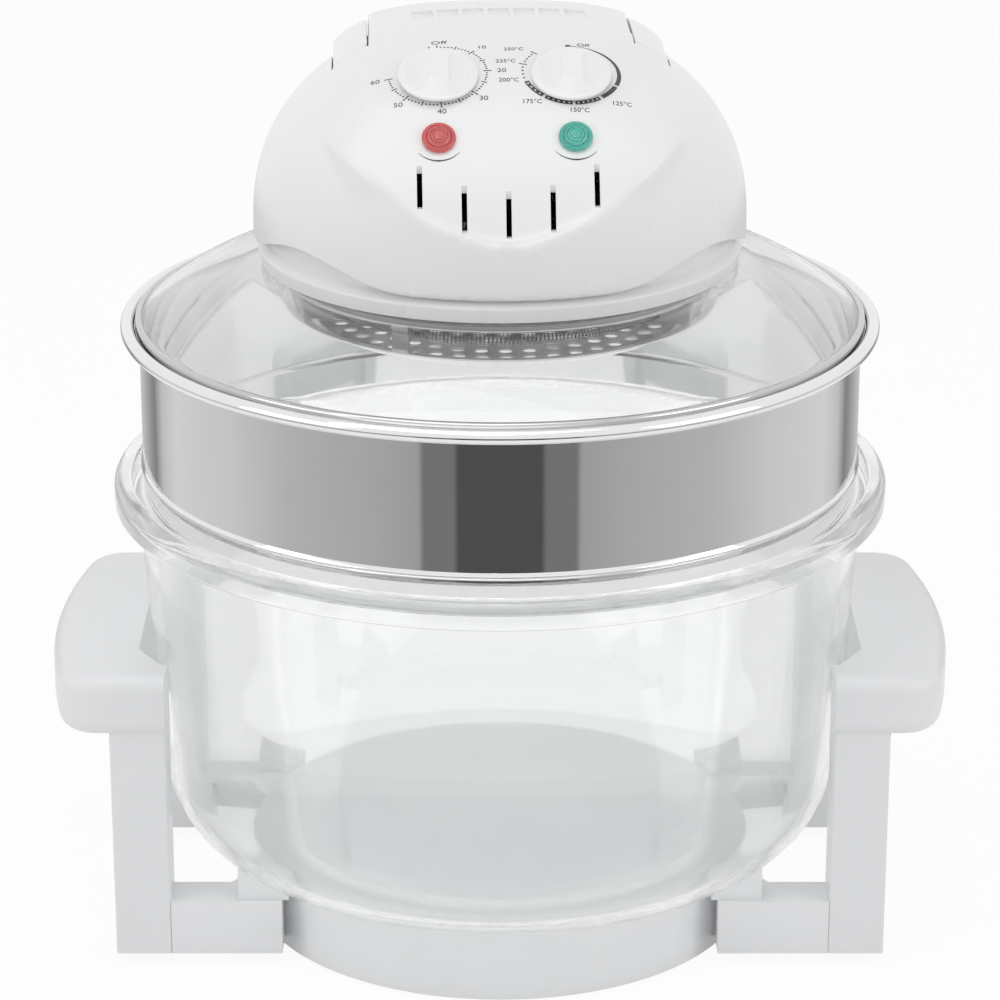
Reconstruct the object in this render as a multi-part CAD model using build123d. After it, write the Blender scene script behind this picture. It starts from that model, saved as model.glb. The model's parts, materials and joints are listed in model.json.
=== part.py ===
from build123d import *
import math
import os

# Halogen oven: a glass bowl in a moulded stand, a steel extender ring on the
# bowl, and a glass lid that carries the heater head. Millimetres, +Z up, the
# control panel towards -Y, origin on the floor under the bowl's axis.

# Fits
run_gap = 0.05          # radial clearance of a shaft, pin or plunger in its bore
seat_gap = 0.3          # clearance under a part that lifts off its seat
snug_gap = 0.1          # clearance round a fixed insert

# Stand
base_radius = 112.5
base_height = 35.7
base_floor_gap = 1.0    # the base's wall stops this far above the floor
base_wall = 3.0
base_edge = 6.0         # rounding of the base's top edge
base_draft = 1.5        # the wall leans in by this much at its foot
foot_radius = 7.0
foot_height = 4.0
foot_reach = 92.0       # distance of the feet from the axis
foot_boss_wall = 2.5

arm_face = 76.0         # front and back faces of the arms and posts
arm_depth = 21.0
arm_top = 30.0
arm_bottom = 5.5
arm_wall = 2.5
arm_inner_x = 95.0      # where the arm's face ends beside the base
gusset_x = 118.0        # the arm widens into the base from here
gusset_y = 36.0

post_inner_x = 143.2
post_width = 24.3
handle_bottom = 109.0
handle_top = 136.4
handle_half_depth = 79.0
handle_overhang = 28.2  # the side handles reach this far past the bowl's flange
handle_bow = 10.5       # their outer edge bulges by this much between its corners
handle_inner_x = 156.5
handle_inner_half = 45.0
handle_corner = 18.0
handle_edge = 7.0
handle_wall = 3.0

pad_length = 22.0
pad_width = 13.0
pad_x = 103.0
pad_y = 67.0

screw_radius = 2.0
screw_head_radius = 4.0
screw_head_height = 2.4
screw_boss_wall = 2.0

# Bowl
bowl_height = 170.0
bowl_wall = 4.5
bowl_wall_foot_radius = 147.0
bowl_corner = 40.0      # outer radius of the bend from floor to wall
bowl_wall_top_radius = 158.0
bowl_flange_radius = 168.3
bowl_flange_height = 12.0
bowl_recess_radius = 160.3
bowl_recess_depth = 8.0
bowl_ledge_radius = 152.5

# Extender ring
ring_radius = 155.5
ring_height = 78.0
sheet = 0.8
ring_foot_radius = 157.5
ring_foot_height = 2.2
ring_swage_height = 14.1    # height of the pressed line above the foot
ring_swage_depth = 1.2
ring_swage_half = 1.7
ring_ledge_depth = 6.4      # the lid's ledge lies this far under the top
ring_collar_radius = 158.4
ring_bead_radius = 160.4
ring_bead_tube = 3.0

# Lid glass and rim
lid_turn = 2.15         # angle in degrees at which the round lid was set down
lid_rim_radius = 157.0
lid_rim_height = 7.4
lid_rim_inner = 153.2
lid_rim_lip = 2.5       # sheet and gasket under the glass's edge
lid_glass_radius = 155.4
lid_glass_wall = 4.0
lid_glass_flat = 104.0  # radius where the dome of the glass turns flat
lid_glass_hole = 88.0
lid_glass_rise = 25.0   # height of the flat above the glass's edge
lid_glass_bulge = 3.5
gasket_thick = 1.2

# Head: skirt and housing. Heights from here on count from the lid glass's flat.
skirt_radius = 102.5
skirt_band_radius = 103.8
skirt_band_height = 6.5
skirt_collar_radius = 99.6
skirt_top = 22.0
skirt_wall = 2.4
skirt_flange_bore = 74.0
skirt_flange_height = 3.0

housing_radius = 105.4
housing_wall = 2.5
housing_foot = 9.8
housing_spring = 16.3   # height where the wall starts to lean in
housing_top = 102.3
housing_flat = 30.0     # length of the level stretch on the very top
scallop_rise = 10.9
scallop_half = 60.5
scallop_angle = 54.0

crown_half_width = 75.0 # the panel is crowned across: a superellipse in front view
crown_drop = 34.0       # fall from the crest to the widest place
crown_power = 2.9
crown_steps = 7         # sections each side of the middle
panel_half_width = 74.5
panel_reach = 103.6     # the panel's side view is an ellipse with these halves
panel_rise = 88.5
panel_back_reach = 72.0
panel_setback = 1.4     # the panel's foot lies this far inside the dome's wall
panel_corner = 40.0
lip_outline = [(0, 33.9), (27, 41.0), (43, 49.3), (56, 62.0), (65, 70.0), (71.5, 75.5)]

vent_spacing = 17.9
vent_width = 2.2
vent_tops = [49.8, 52.0, 58.9]
vent_bottoms = [35.5, 38.0, 46.8]
louvre_count = 7
louvre_pitch = 10.8
louvre_width = 8.8
louvre_length = 14.0
louvre_depth = 1.0
louvre_y = 14.0

# Controls
knob_x = 27.3
knob_y = -52.0
knob_radius = 16.6
knob_skirt_height = 2.4
knob_height = 7.8
knob_lift = 0.6
knob_crown_radius = 15.4
knob_bar_width = 8.0
knob_scoop_radius = 8.1
knob_scoop_floor = 3.2  # height of the hollows beside the grip bar
knob_cap = 3.0          # material over the shaft's end
knob_shaft_radius = 3.0
knob_shaft_depth = 12.0
bush_radius = 4.6
control_width = 36.0
control_depth = 25.0
control_setback = 7.0

lamp_x = 27.7
lamp_y = -78.6
lamp_radius = 6.9
lamp_height = 3.2
lamp_stem_radius = 5.4
lamp_stem_length = 6.0
lamp_body_radius = 4.6
lamp_body_length = 13.0

# Carry handle
hub_y = -3.0
hub_height = 88.5
hub_radius = 13.0
hub_inner_x = 56.0
hub_outer_x = 70.4
pocket_gap = 0.6
strap_thick = 7.0
strap_bend_y = 16.0     # the straps start to bend down here
strap_clearance = 4.6   # between the straps and the housing's back
grip_clearance = 4.6
grip_thick = 12.0
grip_bottom = 47.0
grip_top = 63.0
grip_edge = 4.0
pin_radius = 2.5
pin_head_radius = 4.6
pin_head_height = 2.0
pin_reach = 62.5
cam_radius = 9.7
cam_offset = 3.0
cam_gap = 0.4           # the plunger's tip stands this far under the hub
cam_inner_x = 57.5
cam_outer_x = 63.5
plunger_radius = 2.0
plunger_length = 15.5
plunger_collar = 3.4
plunger_collar_height = 2.0
plunger_collar_drop = 9.5
switch_length = 20.0
switch_width = 9.0
switch_height = 12.0

# Fan drive
shaft_radius = 3.0
shaft_top = 61.0
shaft_bottom = -16.0
motor_length = 56.0
motor_width = 44.0
motor_height = 16.0
motor_can_radius = 18.0
motor_can_height = 5.0
bridge_height = 35.0
bridge_reach = 70.0
bridge_width = 24.0
bridge_sheet = 1.5
cooling_fan_radius = 60.0
cooling_fan_height = 10.0
cooling_fan_bottom = 17.0
cooling_blades = 9
convection_fan_radius = 48.0
convection_fan_height = 9.0
convection_fan_bottom = -12.0
convection_blades = 6
fan_hub_radius = 7.0
fan_web = 1.0
nut_radius = 5.0
nut_height = 3.0

# Heater
plate_sheet = 0.8
reflector_radius = 85.8
reflector_flange = 97.0
shield_radius = 91.0
shield_lip = 6.0
shaft_hole = 8.0
tube_ring_radius = 68.0
tube_radius = 4.5
tube_drop = 16.7        # depth of the tube's axis under the lid glass's flat
tube_gap_angle = 24.0
socket_width = 14.0
socket_depth = 15.0
socket_grip = 4.0
clip_length = 18.0
clip_width = 12.0
clip_reach = 73.0
clip_angles = [-168, -22]
clip_under = 1.5
guard_drop = 25.7
guard_flat_radius = 81.0
guard_radius = 93.0
guard_rise = 5.5
guard_rim = 3.0
guard_hole = 2.7
guard_ring_first = 22.5 # radius of the innermost ring of holes
guard_ring_pitch = 12.0
guard_ring_count = 5
guard_hole_count = 6    # each ring has this many holes more than the last
bracket_radius = 77.0
bracket_width = 8.0
bracket_sheet = 1.2
bracket_angles = [-124, -4, 116]
bracket_foot = 7.0
bracket_head = 5.0
guard_screw_radius = 1.5
guard_screw_head = 2.6
guard_screw_height = 1.6
bulb_radius = 3.0
bulb_length = 50.0
bulb_y = -56.0
bulb_drop = 5.0

# Head fasteners and wiring
boss_reach = 78.5
boss_radius = 4.2
boss_angles = [45, 135, 225, 315]
pilot_depth = 12.0
terminal_width = 40.0
terminal_depth = 12.0
terminal_height = 13.0
terminal_y = 68.0
inlet_width = 26.0
inlet_height = 16.0
inlet_bottom = 26.0
inlet_depth = 20.0
inlet_flange = 3.0
inlet_flange_thick = 2.0
inlet_recess = 14.0

# Sizes that follow from the ones above
handle_reach = bowl_flange_radius + handle_overhang
handle_corner_x = handle_reach - handle_bow
grip_inner = housing_radius + grip_clearance
strap_reach = housing_radius + strap_clearance - strap_bend_y
bowl_bottom = base_height + seat_gap
bowl_top = bowl_bottom + bowl_height
bowl_ledge = bowl_top - bowl_recess_depth
ring_bottom = bowl_ledge + seat_gap
ring_top = ring_bottom + ring_height
ring_ledge = ring_top - ring_ledge_depth
lid_seat = ring_ledge + seat_gap
glass_edge_bottom = lid_seat + lid_rim_lip
head_z = glass_edge_bottom + lid_glass_wall + lid_glass_rise
panel_foot = housing_top - panel_rise
post_outer_x = post_inner_x + post_width
plate_top = skirt_flange_height
plate_bottom = plate_top - plate_sheet
shield_bottom = skirt_flange_height + skirt_wall
shield_top = shield_bottom + plate_sheet
bridge_top = bridge_height + bridge_sheet

nodes = {}
lid_place = Pos(0, 0, head_z) * Rot(0, 0, lid_turn)


def outline(*corners):
    """Closed face in the XZ plane from (radius, height, rounding) corners."""
    points = [(r, z) for r, z, _ in corners]
    rounds = [rounding for _, _, rounding in corners]
    return Plane.XZ * make_face(FilletPolyline(*points, radius=rounds, close=True))


def turned(*corners):
    return revolve(outline(*corners), Axis.Z)


def rod(radius, bottom, top, x=0, y=0):
    return Pos(x, y, (bottom + top) / 2) * Cylinder(radius, top - bottom)


def rod_along_x(radius, x0, x1, y, z):
    return Pos((x0 + x1) / 2, y, z) * Rot(0, 90, 0) * Cylinder(radius, abs(x1 - x0))


def block(x0, x1, y0, y1, z0, z1):
    size = Box(abs(x1 - x0), abs(y1 - y0), abs(z1 - z0))
    return Pos((x0 + x1) / 2, (y0 + y1) / 2, (z0 + z1) / 2) * size


def both_sides(shape):
    return [shape, shape.mirror(Plane.YZ)]


def four_corners(shape):
    pair = both_sides(shape)
    return pair + [piece.mirror(Plane.XZ) for piece in pair]


def panel_height(y):
    return panel_foot + panel_rise * math.sqrt(1 - (y / panel_reach) ** 2)


def panel_plane(x, y):
    """Plane touching the panel at x, y with its Z pointing out of the panel."""
    h = panel_height(y)
    normal = (0, y / panel_reach ** 2, (h - panel_foot) / panel_rise ** 2)
    return Plane(origin=(x, y, h), x_dir=(1, 0, 0), z_dir=normal)


def bowl_outside(grow):
    """The bowl's outside below its flange, grown by a clearance."""
    top = bowl_top - bowl_flange_height - 2
    return turned(
        (0, bowl_bottom - grow, 0),
        (bowl_wall_foot_radius + grow, bowl_bottom - grow, bowl_corner + grow),
        (bowl_wall_top_radius + grow, top, 0),
        (0, top, 0),
    )


# ---- Stand


def arm_plan():
    corners = [
        (arm_inner_x, -arm_face),
        (post_inner_x, -arm_face),
        (post_inner_x, -arm_face + arm_depth),
        (gusset_x, -arm_face + arm_depth),
        (base_radius - base_edge, -gusset_y),
        (base_radius - 4 * base_wall, -gusset_y),
        (arm_inner_x - 2 * base_wall, -arm_face + arm_depth),
        (arm_inner_x, -arm_face + arm_depth - base_wall),
    ]
    return make_face(Polyline(*corners, close=True))


def arm():
    solid = extrude(Pos(0, 0, arm_bottom) * arm_plan(), arm_top - arm_bottom)
    inside = block(
        arm_inner_x + arm_wall, post_inner_x - arm_wall,
        -arm_face + arm_wall, -gusset_y + arm_wall,
        0, arm_top - arm_wall,
    )
    return solid - inside


def stand_base():
    foot_r = base_radius - base_draft
    wall = turned(
        (0, base_height, 0),
        (base_radius, base_height, base_edge),
        (foot_r, base_floor_gap, 0),
        (foot_r - base_wall, base_floor_gap, 0),
        (base_radius - base_wall, base_height - base_wall, base_edge - base_wall),
        (0, base_height - base_wall, 0),
    )
    cavity = turned(
        (0, base_floor_gap, 0),
        (foot_r - base_wall, base_floor_gap, 0),
        (base_radius - base_wall, base_height - base_wall, base_edge - base_wall),
        (0, base_height - base_wall, 0),
    )
    arms = [piece - cavity for piece in four_corners(arm())]
    boss_radius_foot = foot_radius + foot_boss_wall
    boss_place = foot_reach * math.sqrt(0.5)
    boss = rod(boss_radius_foot, base_floor_gap, base_height - base_wall / 2, boss_place, boss_place)
    recess = rod(foot_radius + snug_gap, 0, foot_height, boss_place, boss_place)
    body = wall
    for piece in arms + four_corners(boss):
        body += piece
    rib_half = foot_reach - boss_radius_foot
    for rib in (Box(2 * rib_half, base_wall, base_height / 2), Box(base_wall, 2 * rib_half, base_height / 2)):
        body += Pos(0, 0, base_height * 0.75 - base_wall / 2) * rib
    for piece in four_corners(recess):
        body -= piece
    hole = rod_along_x(
        screw_radius + snug_gap, post_inner_x - 2 * arm_wall, post_inner_x + 1, -screw_y(), screw_z()
    )
    for piece in four_corners(hole):
        body -= piece
    return body


def screw_y():
    return arm_face - arm_depth / 2


def screw_z():
    return (arm_bottom + arm_top) / 2


def rubber_feet():
    place = foot_reach * math.sqrt(0.5)
    return four_corners(rod(foot_radius, 0, foot_height, place, place))


def side_handle_plan(inset):
    front = -handle_half_depth + inset
    inner = post_inner_x + inset
    corner = (handle_corner_x - inset, front)
    outer_arc = ThreePointArc(corner, (handle_reach - inset, 0), (corner[0], -front))
    back = [
        (corner[0], -front),
        (inner, -front),
        (inner, handle_half_depth - post_width / 2 - inset),
        (handle_inner_x + inset, handle_inner_half - inset),
        (handle_inner_x + inset, -handle_inner_half + inset),
        (inner, -handle_half_depth + post_width / 2 + inset),
        (inner, front),
        corner,
    ]
    face = make_face(Curve() + [outer_arc, Polyline(*back)])
    corners = [v for v in face.vertices() if v.X > handle_corner_x - inset - 1]
    return fillet(corners, handle_corner - inset)


def side_frame():
    height = handle_top - handle_bottom
    grip = extrude(Pos(0, 0, handle_bottom) * side_handle_plan(0), height)
    rim = [e for e in grip.edges().filter_by(Plane.XY) if e.center().X > handle_inner_x + 1]
    grip = fillet(rim, handle_edge)
    grip -= extrude(Pos(0, 0, handle_bottom - 1) * side_handle_plan(handle_wall), height - handle_wall + 1)
    post = block(
        post_inner_x, post_outer_x,
        -arm_face, -arm_face + arm_depth,
        arm_bottom, handle_top - handle_wall,
    )
    bore = block(
        post_inner_x + arm_wall, post_outer_x - arm_wall,
        -arm_face + arm_wall, -arm_face + arm_depth - arm_wall,
        arm_bottom - 1, handle_bottom,
    )
    outer_edges = post.edges().filter_by(Axis.Z).group_by(Axis.Y)[0]
    post = fillet(outer_edges, arm_wall / 2) - bore
    boss = rod_along_x(
        screw_radius + screw_boss_wall, post_inner_x, post_outer_x - arm_wall, -screw_y(), screw_z()
    )
    hole = rod_along_x(
        screw_radius + run_gap, post_inner_x - 1, post_outer_x - 2 * arm_wall, -screw_y(), screw_z()
    )
    leg = post + boss - hole
    return grip + leg + leg.mirror(Plane.XZ) - bowl_outside(seat_gap)


def stand_screws():
    head = rod_along_x(
        screw_head_radius,
        post_inner_x - arm_wall - screw_head_height, post_inner_x - arm_wall, -screw_y(), screw_z()
    )
    shank = rod_along_x(
        screw_radius, post_inner_x - arm_wall, post_outer_x - 3 * arm_wall, -screw_y(), screw_z()
    )
    return four_corners(head + shank)


def bowl_rest_pads():
    pad = block(
        pad_x - pad_length / 2, pad_x + pad_length / 2,
        -pad_y - pad_width / 2, -pad_y + pad_width / 2,
        arm_top, bowl_bottom + bowl_corner / 2,
    )
    pad = pad - bowl_outside(seat_gap)
    pad = pad - rod(base_radius + seat_gap, 0, base_height + seat_gap)
    return four_corners(pad)


nodes["stand_base"] = stand_base()
left_frame = side_frame().mirror(Plane.YZ)
nodes["left_side_frame"] = left_frame
nodes["right_side_frame"] = left_frame.mirror(Plane.YZ)
nodes["stand_screws"] = stand_screws()
nodes["rubber_feet"] = rubber_feet()
nodes["bowl_rest_pads"] = bowl_rest_pads()


# ---- Bowl


def glass_bowl():
    foot = bowl_wall_foot_radius
    flange_bottom = bowl_top - bowl_flange_height
    return turned(
        (0, bowl_bottom, 0),
        (foot, bowl_bottom, bowl_corner),
        (bowl_wall_top_radius, flange_bottom - 2, 3),
        (bowl_flange_radius, flange_bottom, 2),
        (bowl_flange_radius, bowl_top, 4),
        (bowl_recess_radius, bowl_top, 1.5),
        (bowl_recess_radius, bowl_ledge, 1),
        (bowl_ledge_radius, bowl_ledge, 1.5),
        (bowl_ledge_radius - 1, flange_bottom - 6, 8),
        (foot - bowl_wall, bowl_bottom + bowl_wall, bowl_corner - bowl_wall),
        (0, bowl_bottom + bowl_wall, 0),
    )


nodes["glass_bowl"] = glass_bowl()


# ---- Extender ring


def extender_ring():
    inner = ring_radius - sheet
    swage = ring_bottom + ring_swage_height
    band = turned(
        (ring_radius, ring_bottom + ring_foot_height, 0),
        (ring_foot_radius, ring_bottom + ring_foot_height, 1),
        (ring_foot_radius, ring_bottom, 1),
        (inner, ring_bottom, 0),
        (inner, swage - ring_swage_half, 0),
        (inner + ring_swage_depth, swage, 1),
        (inner, swage + ring_swage_half, 0),
        (inner, ring_ledge, 0),
        (ring_collar_radius - sheet, ring_ledge, 0),
        (ring_collar_radius - sheet, ring_top - ring_bead_tube, 0),
        (ring_collar_radius, ring_top - ring_bead_tube, 0),
        (ring_collar_radius, ring_ledge - sheet, 0),
        (ring_radius, ring_ledge - sheet, 0),
        (ring_radius, swage + ring_swage_half, 0),
        (ring_radius + ring_swage_depth, swage, 1),
        (ring_radius, swage - ring_swage_half, 0),
    )
    bead = Pos(0, 0, ring_top - ring_bead_tube) * Torus(ring_bead_radius, ring_bead_tube)
    return band + bead


nodes["extender_ring"] = extender_ring()


# ---- Lid glass, its rim and seals, in world heights


def lid_glass():
    edge_top = glass_edge_bottom + lid_glass_wall
    mid_r = (lid_glass_radius + lid_glass_flat) / 2
    mid_z = (edge_top + head_z) / 2 + lid_glass_bulge
    wall = lid_glass_wall
    line = [
        ThreePointArc((lid_glass_radius, edge_top), (mid_r, mid_z), (lid_glass_flat, head_z)),
        Line((lid_glass_flat, head_z), (lid_glass_hole, head_z)),
        Line((lid_glass_hole, head_z), (lid_glass_hole, head_z - wall)),
        Line((lid_glass_hole, head_z - wall), (lid_glass_flat, head_z - wall)),
        ThreePointArc(
            (lid_glass_flat, head_z - wall), (mid_r - 1.2, mid_z - wall),
            (lid_glass_radius - 1.5, glass_edge_bottom),
        ),
        Line((lid_glass_radius - 1.5, glass_edge_bottom), (lid_glass_radius, glass_edge_bottom)),
        Line((lid_glass_radius, glass_edge_bottom), (lid_glass_radius, edge_top)),
    ]
    return revolve(Plane.XZ * make_face(Curve() + line), Axis.Z)


def lid_rim():
    top = lid_seat + lid_rim_height
    ring = turned(
        (lid_rim_inner, lid_seat, 0.6),
        (lid_rim_radius, lid_seat, 1.2),
        (lid_rim_radius, top, 1.2),
        (lid_rim_inner, top, 0.6),
    )
    channel = turned(
        (lid_rim_inner - 8, glass_edge_bottom - snug_gap, 0),
        (lid_glass_radius + snug_gap, glass_edge_bottom - snug_gap, 0),
        (lid_glass_radius + snug_gap, glass_edge_bottom + lid_glass_wall + snug_gap, 0),
        (lid_rim_inner - 8, glass_edge_bottom + lid_glass_wall + 9, 0),
    )
    return ring - channel


def gasket(inner, outer, bottom):
    return rod(outer, bottom, bottom + gasket_thick) - rod(inner, bottom - 1, bottom + gasket_thick + 1)


def glass_gaskets():
    upper = gasket(lid_glass_hole + 2, skirt_radius - 1.5, head_z)
    lower = gasket(lid_glass_hole + 1.5, reflector_flange - 2, head_z - lid_glass_wall - gasket_thick)
    return [upper, lower]


turn = Rot(0, 0, lid_turn)
nodes["lid_glass"] = turn * lid_glass()
nodes["lid_rim"] = turn * lid_rim()
nodes["glass_gaskets"] = [turn * ring for ring in glass_gaskets()]


# ---- Skirt ring under the housing


def ring_of_places(angles, reach):
    return [
        (reach * math.cos(math.radians(angle)), reach * math.sin(math.radians(angle)))
        for angle in angles
    ]


def skirt_ring():
    collar_inner = skirt_collar_radius - skirt_wall
    ring = turned(
        (skirt_radius - 1.2, seat_gap, 0),
        (skirt_radius, seat_gap, 0.4),
        (skirt_band_radius, skirt_band_height, 1.6),
        (skirt_collar_radius, skirt_band_height + 4.5, 5),
        (skirt_collar_radius, skirt_top, 0),
        (collar_inner, skirt_top, 0),
        (collar_inner, shield_bottom, 0),
        (skirt_flange_bore, shield_bottom, 0),
        (skirt_flange_bore, skirt_flange_height, 0),
        (lid_glass_hole + 1, skirt_flange_height, 0),
        (lid_glass_hole + 1, gasket_thick, 0),
        (skirt_radius - 1.2, gasket_thick, 0),
    )
    for x, y in ring_of_places(boss_angles, boss_reach):
        ring -= rod(screw_radius + snug_gap, 0, shield_top, x, y)
    return ring


# ---- Upper housing


def dome_radius(height):
    """Half width of the housing across X at a height."""
    climb = max(0, height - housing_spring) / (housing_top - housing_spring)
    return housing_radius * (1 - climb ** 2.3) ** (1 / 2.2)


def dome_section(height, inset):
    """Egg-shaped level section: full depth at the front, round at the back."""
    shrink = 1 - inset / housing_radius
    climb = max(0, height - housing_spring) / (housing_top - housing_spring)
    side = dome_radius(height) * shrink
    front = EllipticalCenterArc((0, 0), side, housing_radius * shrink, 180, arc_size=180)
    back = CenterArc((0, 0), side, 0, 180)
    return Pos(0, 0, height - climb * inset) * make_face(Curve() + [front, back])


def dome(inset):
    spring = housing_spring
    heights = [spring + 14 * step for step in range(6)] + [housing_top - 7]
    straight = extrude(dome_section(housing_foot - inset, inset), spring - housing_foot + inset)
    return straight + loft([dome_section(height, inset) for height in heights])


def crown_share(x, inset):
    """Share of the panel's rise that is left at a distance x from the middle."""
    across = (abs(x) / (crown_half_width - inset)) ** crown_power
    drop = crown_drop * (1 - (1 - across) ** (1 / crown_power))
    return 1 - drop / panel_rise


def crown_stations(inset):
    """Places across the panel, closer together towards its edges."""
    step = 90 / (crown_steps + 1)
    half = crown_half_width - inset
    return [half * math.sin(math.radians(step * index)) for index in range(-crown_steps, crown_steps + 1)]


def crowned_body(inset, lower, reach, flat, back):
    """Body under a side view of two quarter ellipses that sinks across X."""
    sections = []
    for x in crown_stations(inset):
        rise = (panel_rise - lower) * crown_share(x, inset)
        top = panel_foot + rise
        line = [
            EllipticalCenterArc((0, panel_foot), reach, rise, 90, arc_size=90),
            Polyline((-reach, panel_foot), (-reach, 0), (flat + back, 0), (flat + back, panel_foot)),
            EllipticalCenterArc((flat, panel_foot), back, rise, 0, arc_size=90),
            Line((flat, top), (0, top)),
        ]
        sections.append(Pos(x, 0, 0) * (Plane.YZ * make_face(Curve() + line)))
    return loft(sections)


def under_panel(inset):
    return crowned_body(inset, inset, panel_reach - inset, housing_flat, panel_back_reach - inset)


def under_straps(lower):
    """Body under the carry handle's straps, lowered by their thickness or more."""
    return crowned_body(0, lower, panel_reach, strap_bend_y, strap_reach - lower)


def panel_plan(inset):
    strip = Rectangle(2 * (panel_half_width - inset), 3 * housing_radius)
    plan = Circle(housing_radius - panel_setback - inset) & strip
    plan = fillet(plan.vertices(), panel_corner - inset)
    return extrude(Pos(0, 0, panel_foot) * plan, 2 * panel_rise)


def panel_body(inset):
    """The raised control panel that runs over the top of the dome."""
    front = under_panel(inset) & panel_plan(inset)
    rear_half = hub_inner_x - pocket_gap - inset
    beside = block(rear_half, 2 * housing_radius, hub_y, 2 * housing_radius, 0, 2 * housing_top)
    for piece in both_sides(beside):
        front -= piece
    return front


def lip_cutter():
    """Everything above the apron's lip line, seen from the front."""
    right = [(x, z) for x, z in lip_outline]
    left = [(-x, z) for x, z in reversed(lip_outline[1:])]
    lip = Spline(*(left + right))
    top = 2 * housing_top
    width = right[-1][0]
    frame = Polyline((width, right[-1][1]), (width, top), (-width, top), (-width, right[-1][1]))
    return extrude(Plane.XZ * make_face(Curve() + [lip, frame]), 2 * housing_radius)


def handle_pocket(grow):
    """Room for one handle hub, square at its front top, and for the strap behind it."""
    radius = hub_radius + pocket_gap + grow
    inner_x = hub_inner_x - pocket_gap - grow
    outer_x = hub_outer_x + pocket_gap + grow
    round_part = rod_along_x(radius, inner_x, outer_x, hub_y, hub_height)
    corner = block(inner_x, outer_x, hub_y - radius, hub_y, hub_height, 2 * housing_top)
    groove = block(inner_x, outer_x, hub_y, 2 * housing_radius, 0, 2 * housing_top)
    return round_part + corner + (groove - under_straps(strap_thick + pocket_gap + grow))


def front_vents():
    slots = []
    for column in range(-2, 3):
        x = column * vent_spacing
        bottom = vent_bottoms[abs(column)]
        top = vent_tops[abs(column)]
        slots.append(block(
            x - vent_width / 2, x + vent_width / 2,
            -housing_radius, -housing_radius + 25,
            bottom, top,
        ))
    return slots


def top_louvres():
    cells = []
    first = -(louvre_count - 1) * louvre_pitch / 2
    for index in range(louvre_count):
        x = first + index * louvre_pitch
        crest = panel_foot + panel_rise * crown_share(x, 0)
        cells.append(block(
            x - louvre_width / 2, x + louvre_width / 2,
            louvre_y - louvre_length / 2, louvre_y + louvre_length / 2,
            crest - louvre_depth, housing_top + 1,
        ))
    return cells


def scallop():
    """Bell-shaped cutter that lifts the apron's edge over a finger hold."""
    foot = housing_foot
    bell = Spline(
        (-scallop_half, foot), (0, foot + scallop_rise), (scallop_half, foot),
        tangents=[(1, 0), (1, 0)],
    )
    low = foot - 2 * housing_wall
    below = Polyline((scallop_half, foot), (scallop_half, low), (-scallop_half, low), (-scallop_half, foot))
    face = Plane.YZ * make_face(Curve() + [bell, below])
    return Rot(0, 0, scallop_angle - 90) * Pos(scallop_half / 2, 0, 0) * extrude(face, 2 * scallop_half)


def lamp_seat(side):
    return panel_plane(side * lamp_x, lamp_y)


def knob_seat(side):
    return panel_plane(side * knob_x, knob_y)


def outer_housing():
    over_panel = lip_cutter() - under_panel(0)
    return (dome(0) - over_panel) + panel_body(0)


def inner_housing():
    half = crown_stations(housing_wall)[-1]
    reach = 2 * housing_radius
    above = block(-half, half, -reach, 0, 0, reach) - under_panel(housing_wall)
    return (dome(housing_wall) - above) + panel_body(housing_wall)


def upper_housing():
    outer = outer_housing()
    shell = outer - inner_housing()
    for x, y in ring_of_places(boss_angles, boss_reach):
        column = rod(boss_radius, shield_top + seat_gap, housing_top, x, y)
        shell += column & (outer + rod(boss_radius, 0, housing_foot + 2, x, y))
        shell -= rod(screw_radius + run_gap, 0, shield_top + pilot_depth, x, y)
    for piece in both_sides(handle_pocket(housing_wall) & outer):
        shell += piece
    for piece in both_sides(handle_pocket(0)):
        shell -= piece
    pin_start = hub_inner_x - 4 * housing_wall
    pin_hole = rod_along_x(pin_radius + run_gap, pin_start, hub_inner_x, hub_y, hub_height)
    for piece in both_sides(pin_hole):
        shell -= piece
    shell -= rod(plunger_radius + run_gap, hub_height - 2 * hub_radius, hub_height, plunger_x(), hub_y)
    for piece in four_corners(scallop()):
        shell -= piece
    for piece in front_vents() + top_louvres():
        shell -= piece
    for side in (-1, 1):
        shell -= knob_seat(side) * Cylinder(bush_radius + snug_gap, 30)
        shell -= lamp_seat(side) * Cylinder(lamp_stem_radius + snug_gap, 30)
    half = inlet_width / 2 + inlet_flange
    shell += block(
        -half, half, housing_radius - 4 * housing_wall, housing_radius,
        inlet_bottom - inlet_flange, inlet_bottom + inlet_height + inlet_flange,
    )
    window = block(
        -inlet_width / 2 - snug_gap, inlet_width / 2 + snug_gap,
        housing_radius - 8 * housing_wall, 2 * housing_radius,
        inlet_bottom - snug_gap, inlet_bottom + inlet_height + snug_gap,
    )
    return shell - window


def plunger_x():
    return (cam_inner_x + cam_outer_x) / 2


nodes["skirt_ring"] = lid_place * skirt_ring()
nodes["upper_housing"] = lid_place * upper_housing()


# ---- Controls


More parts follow.
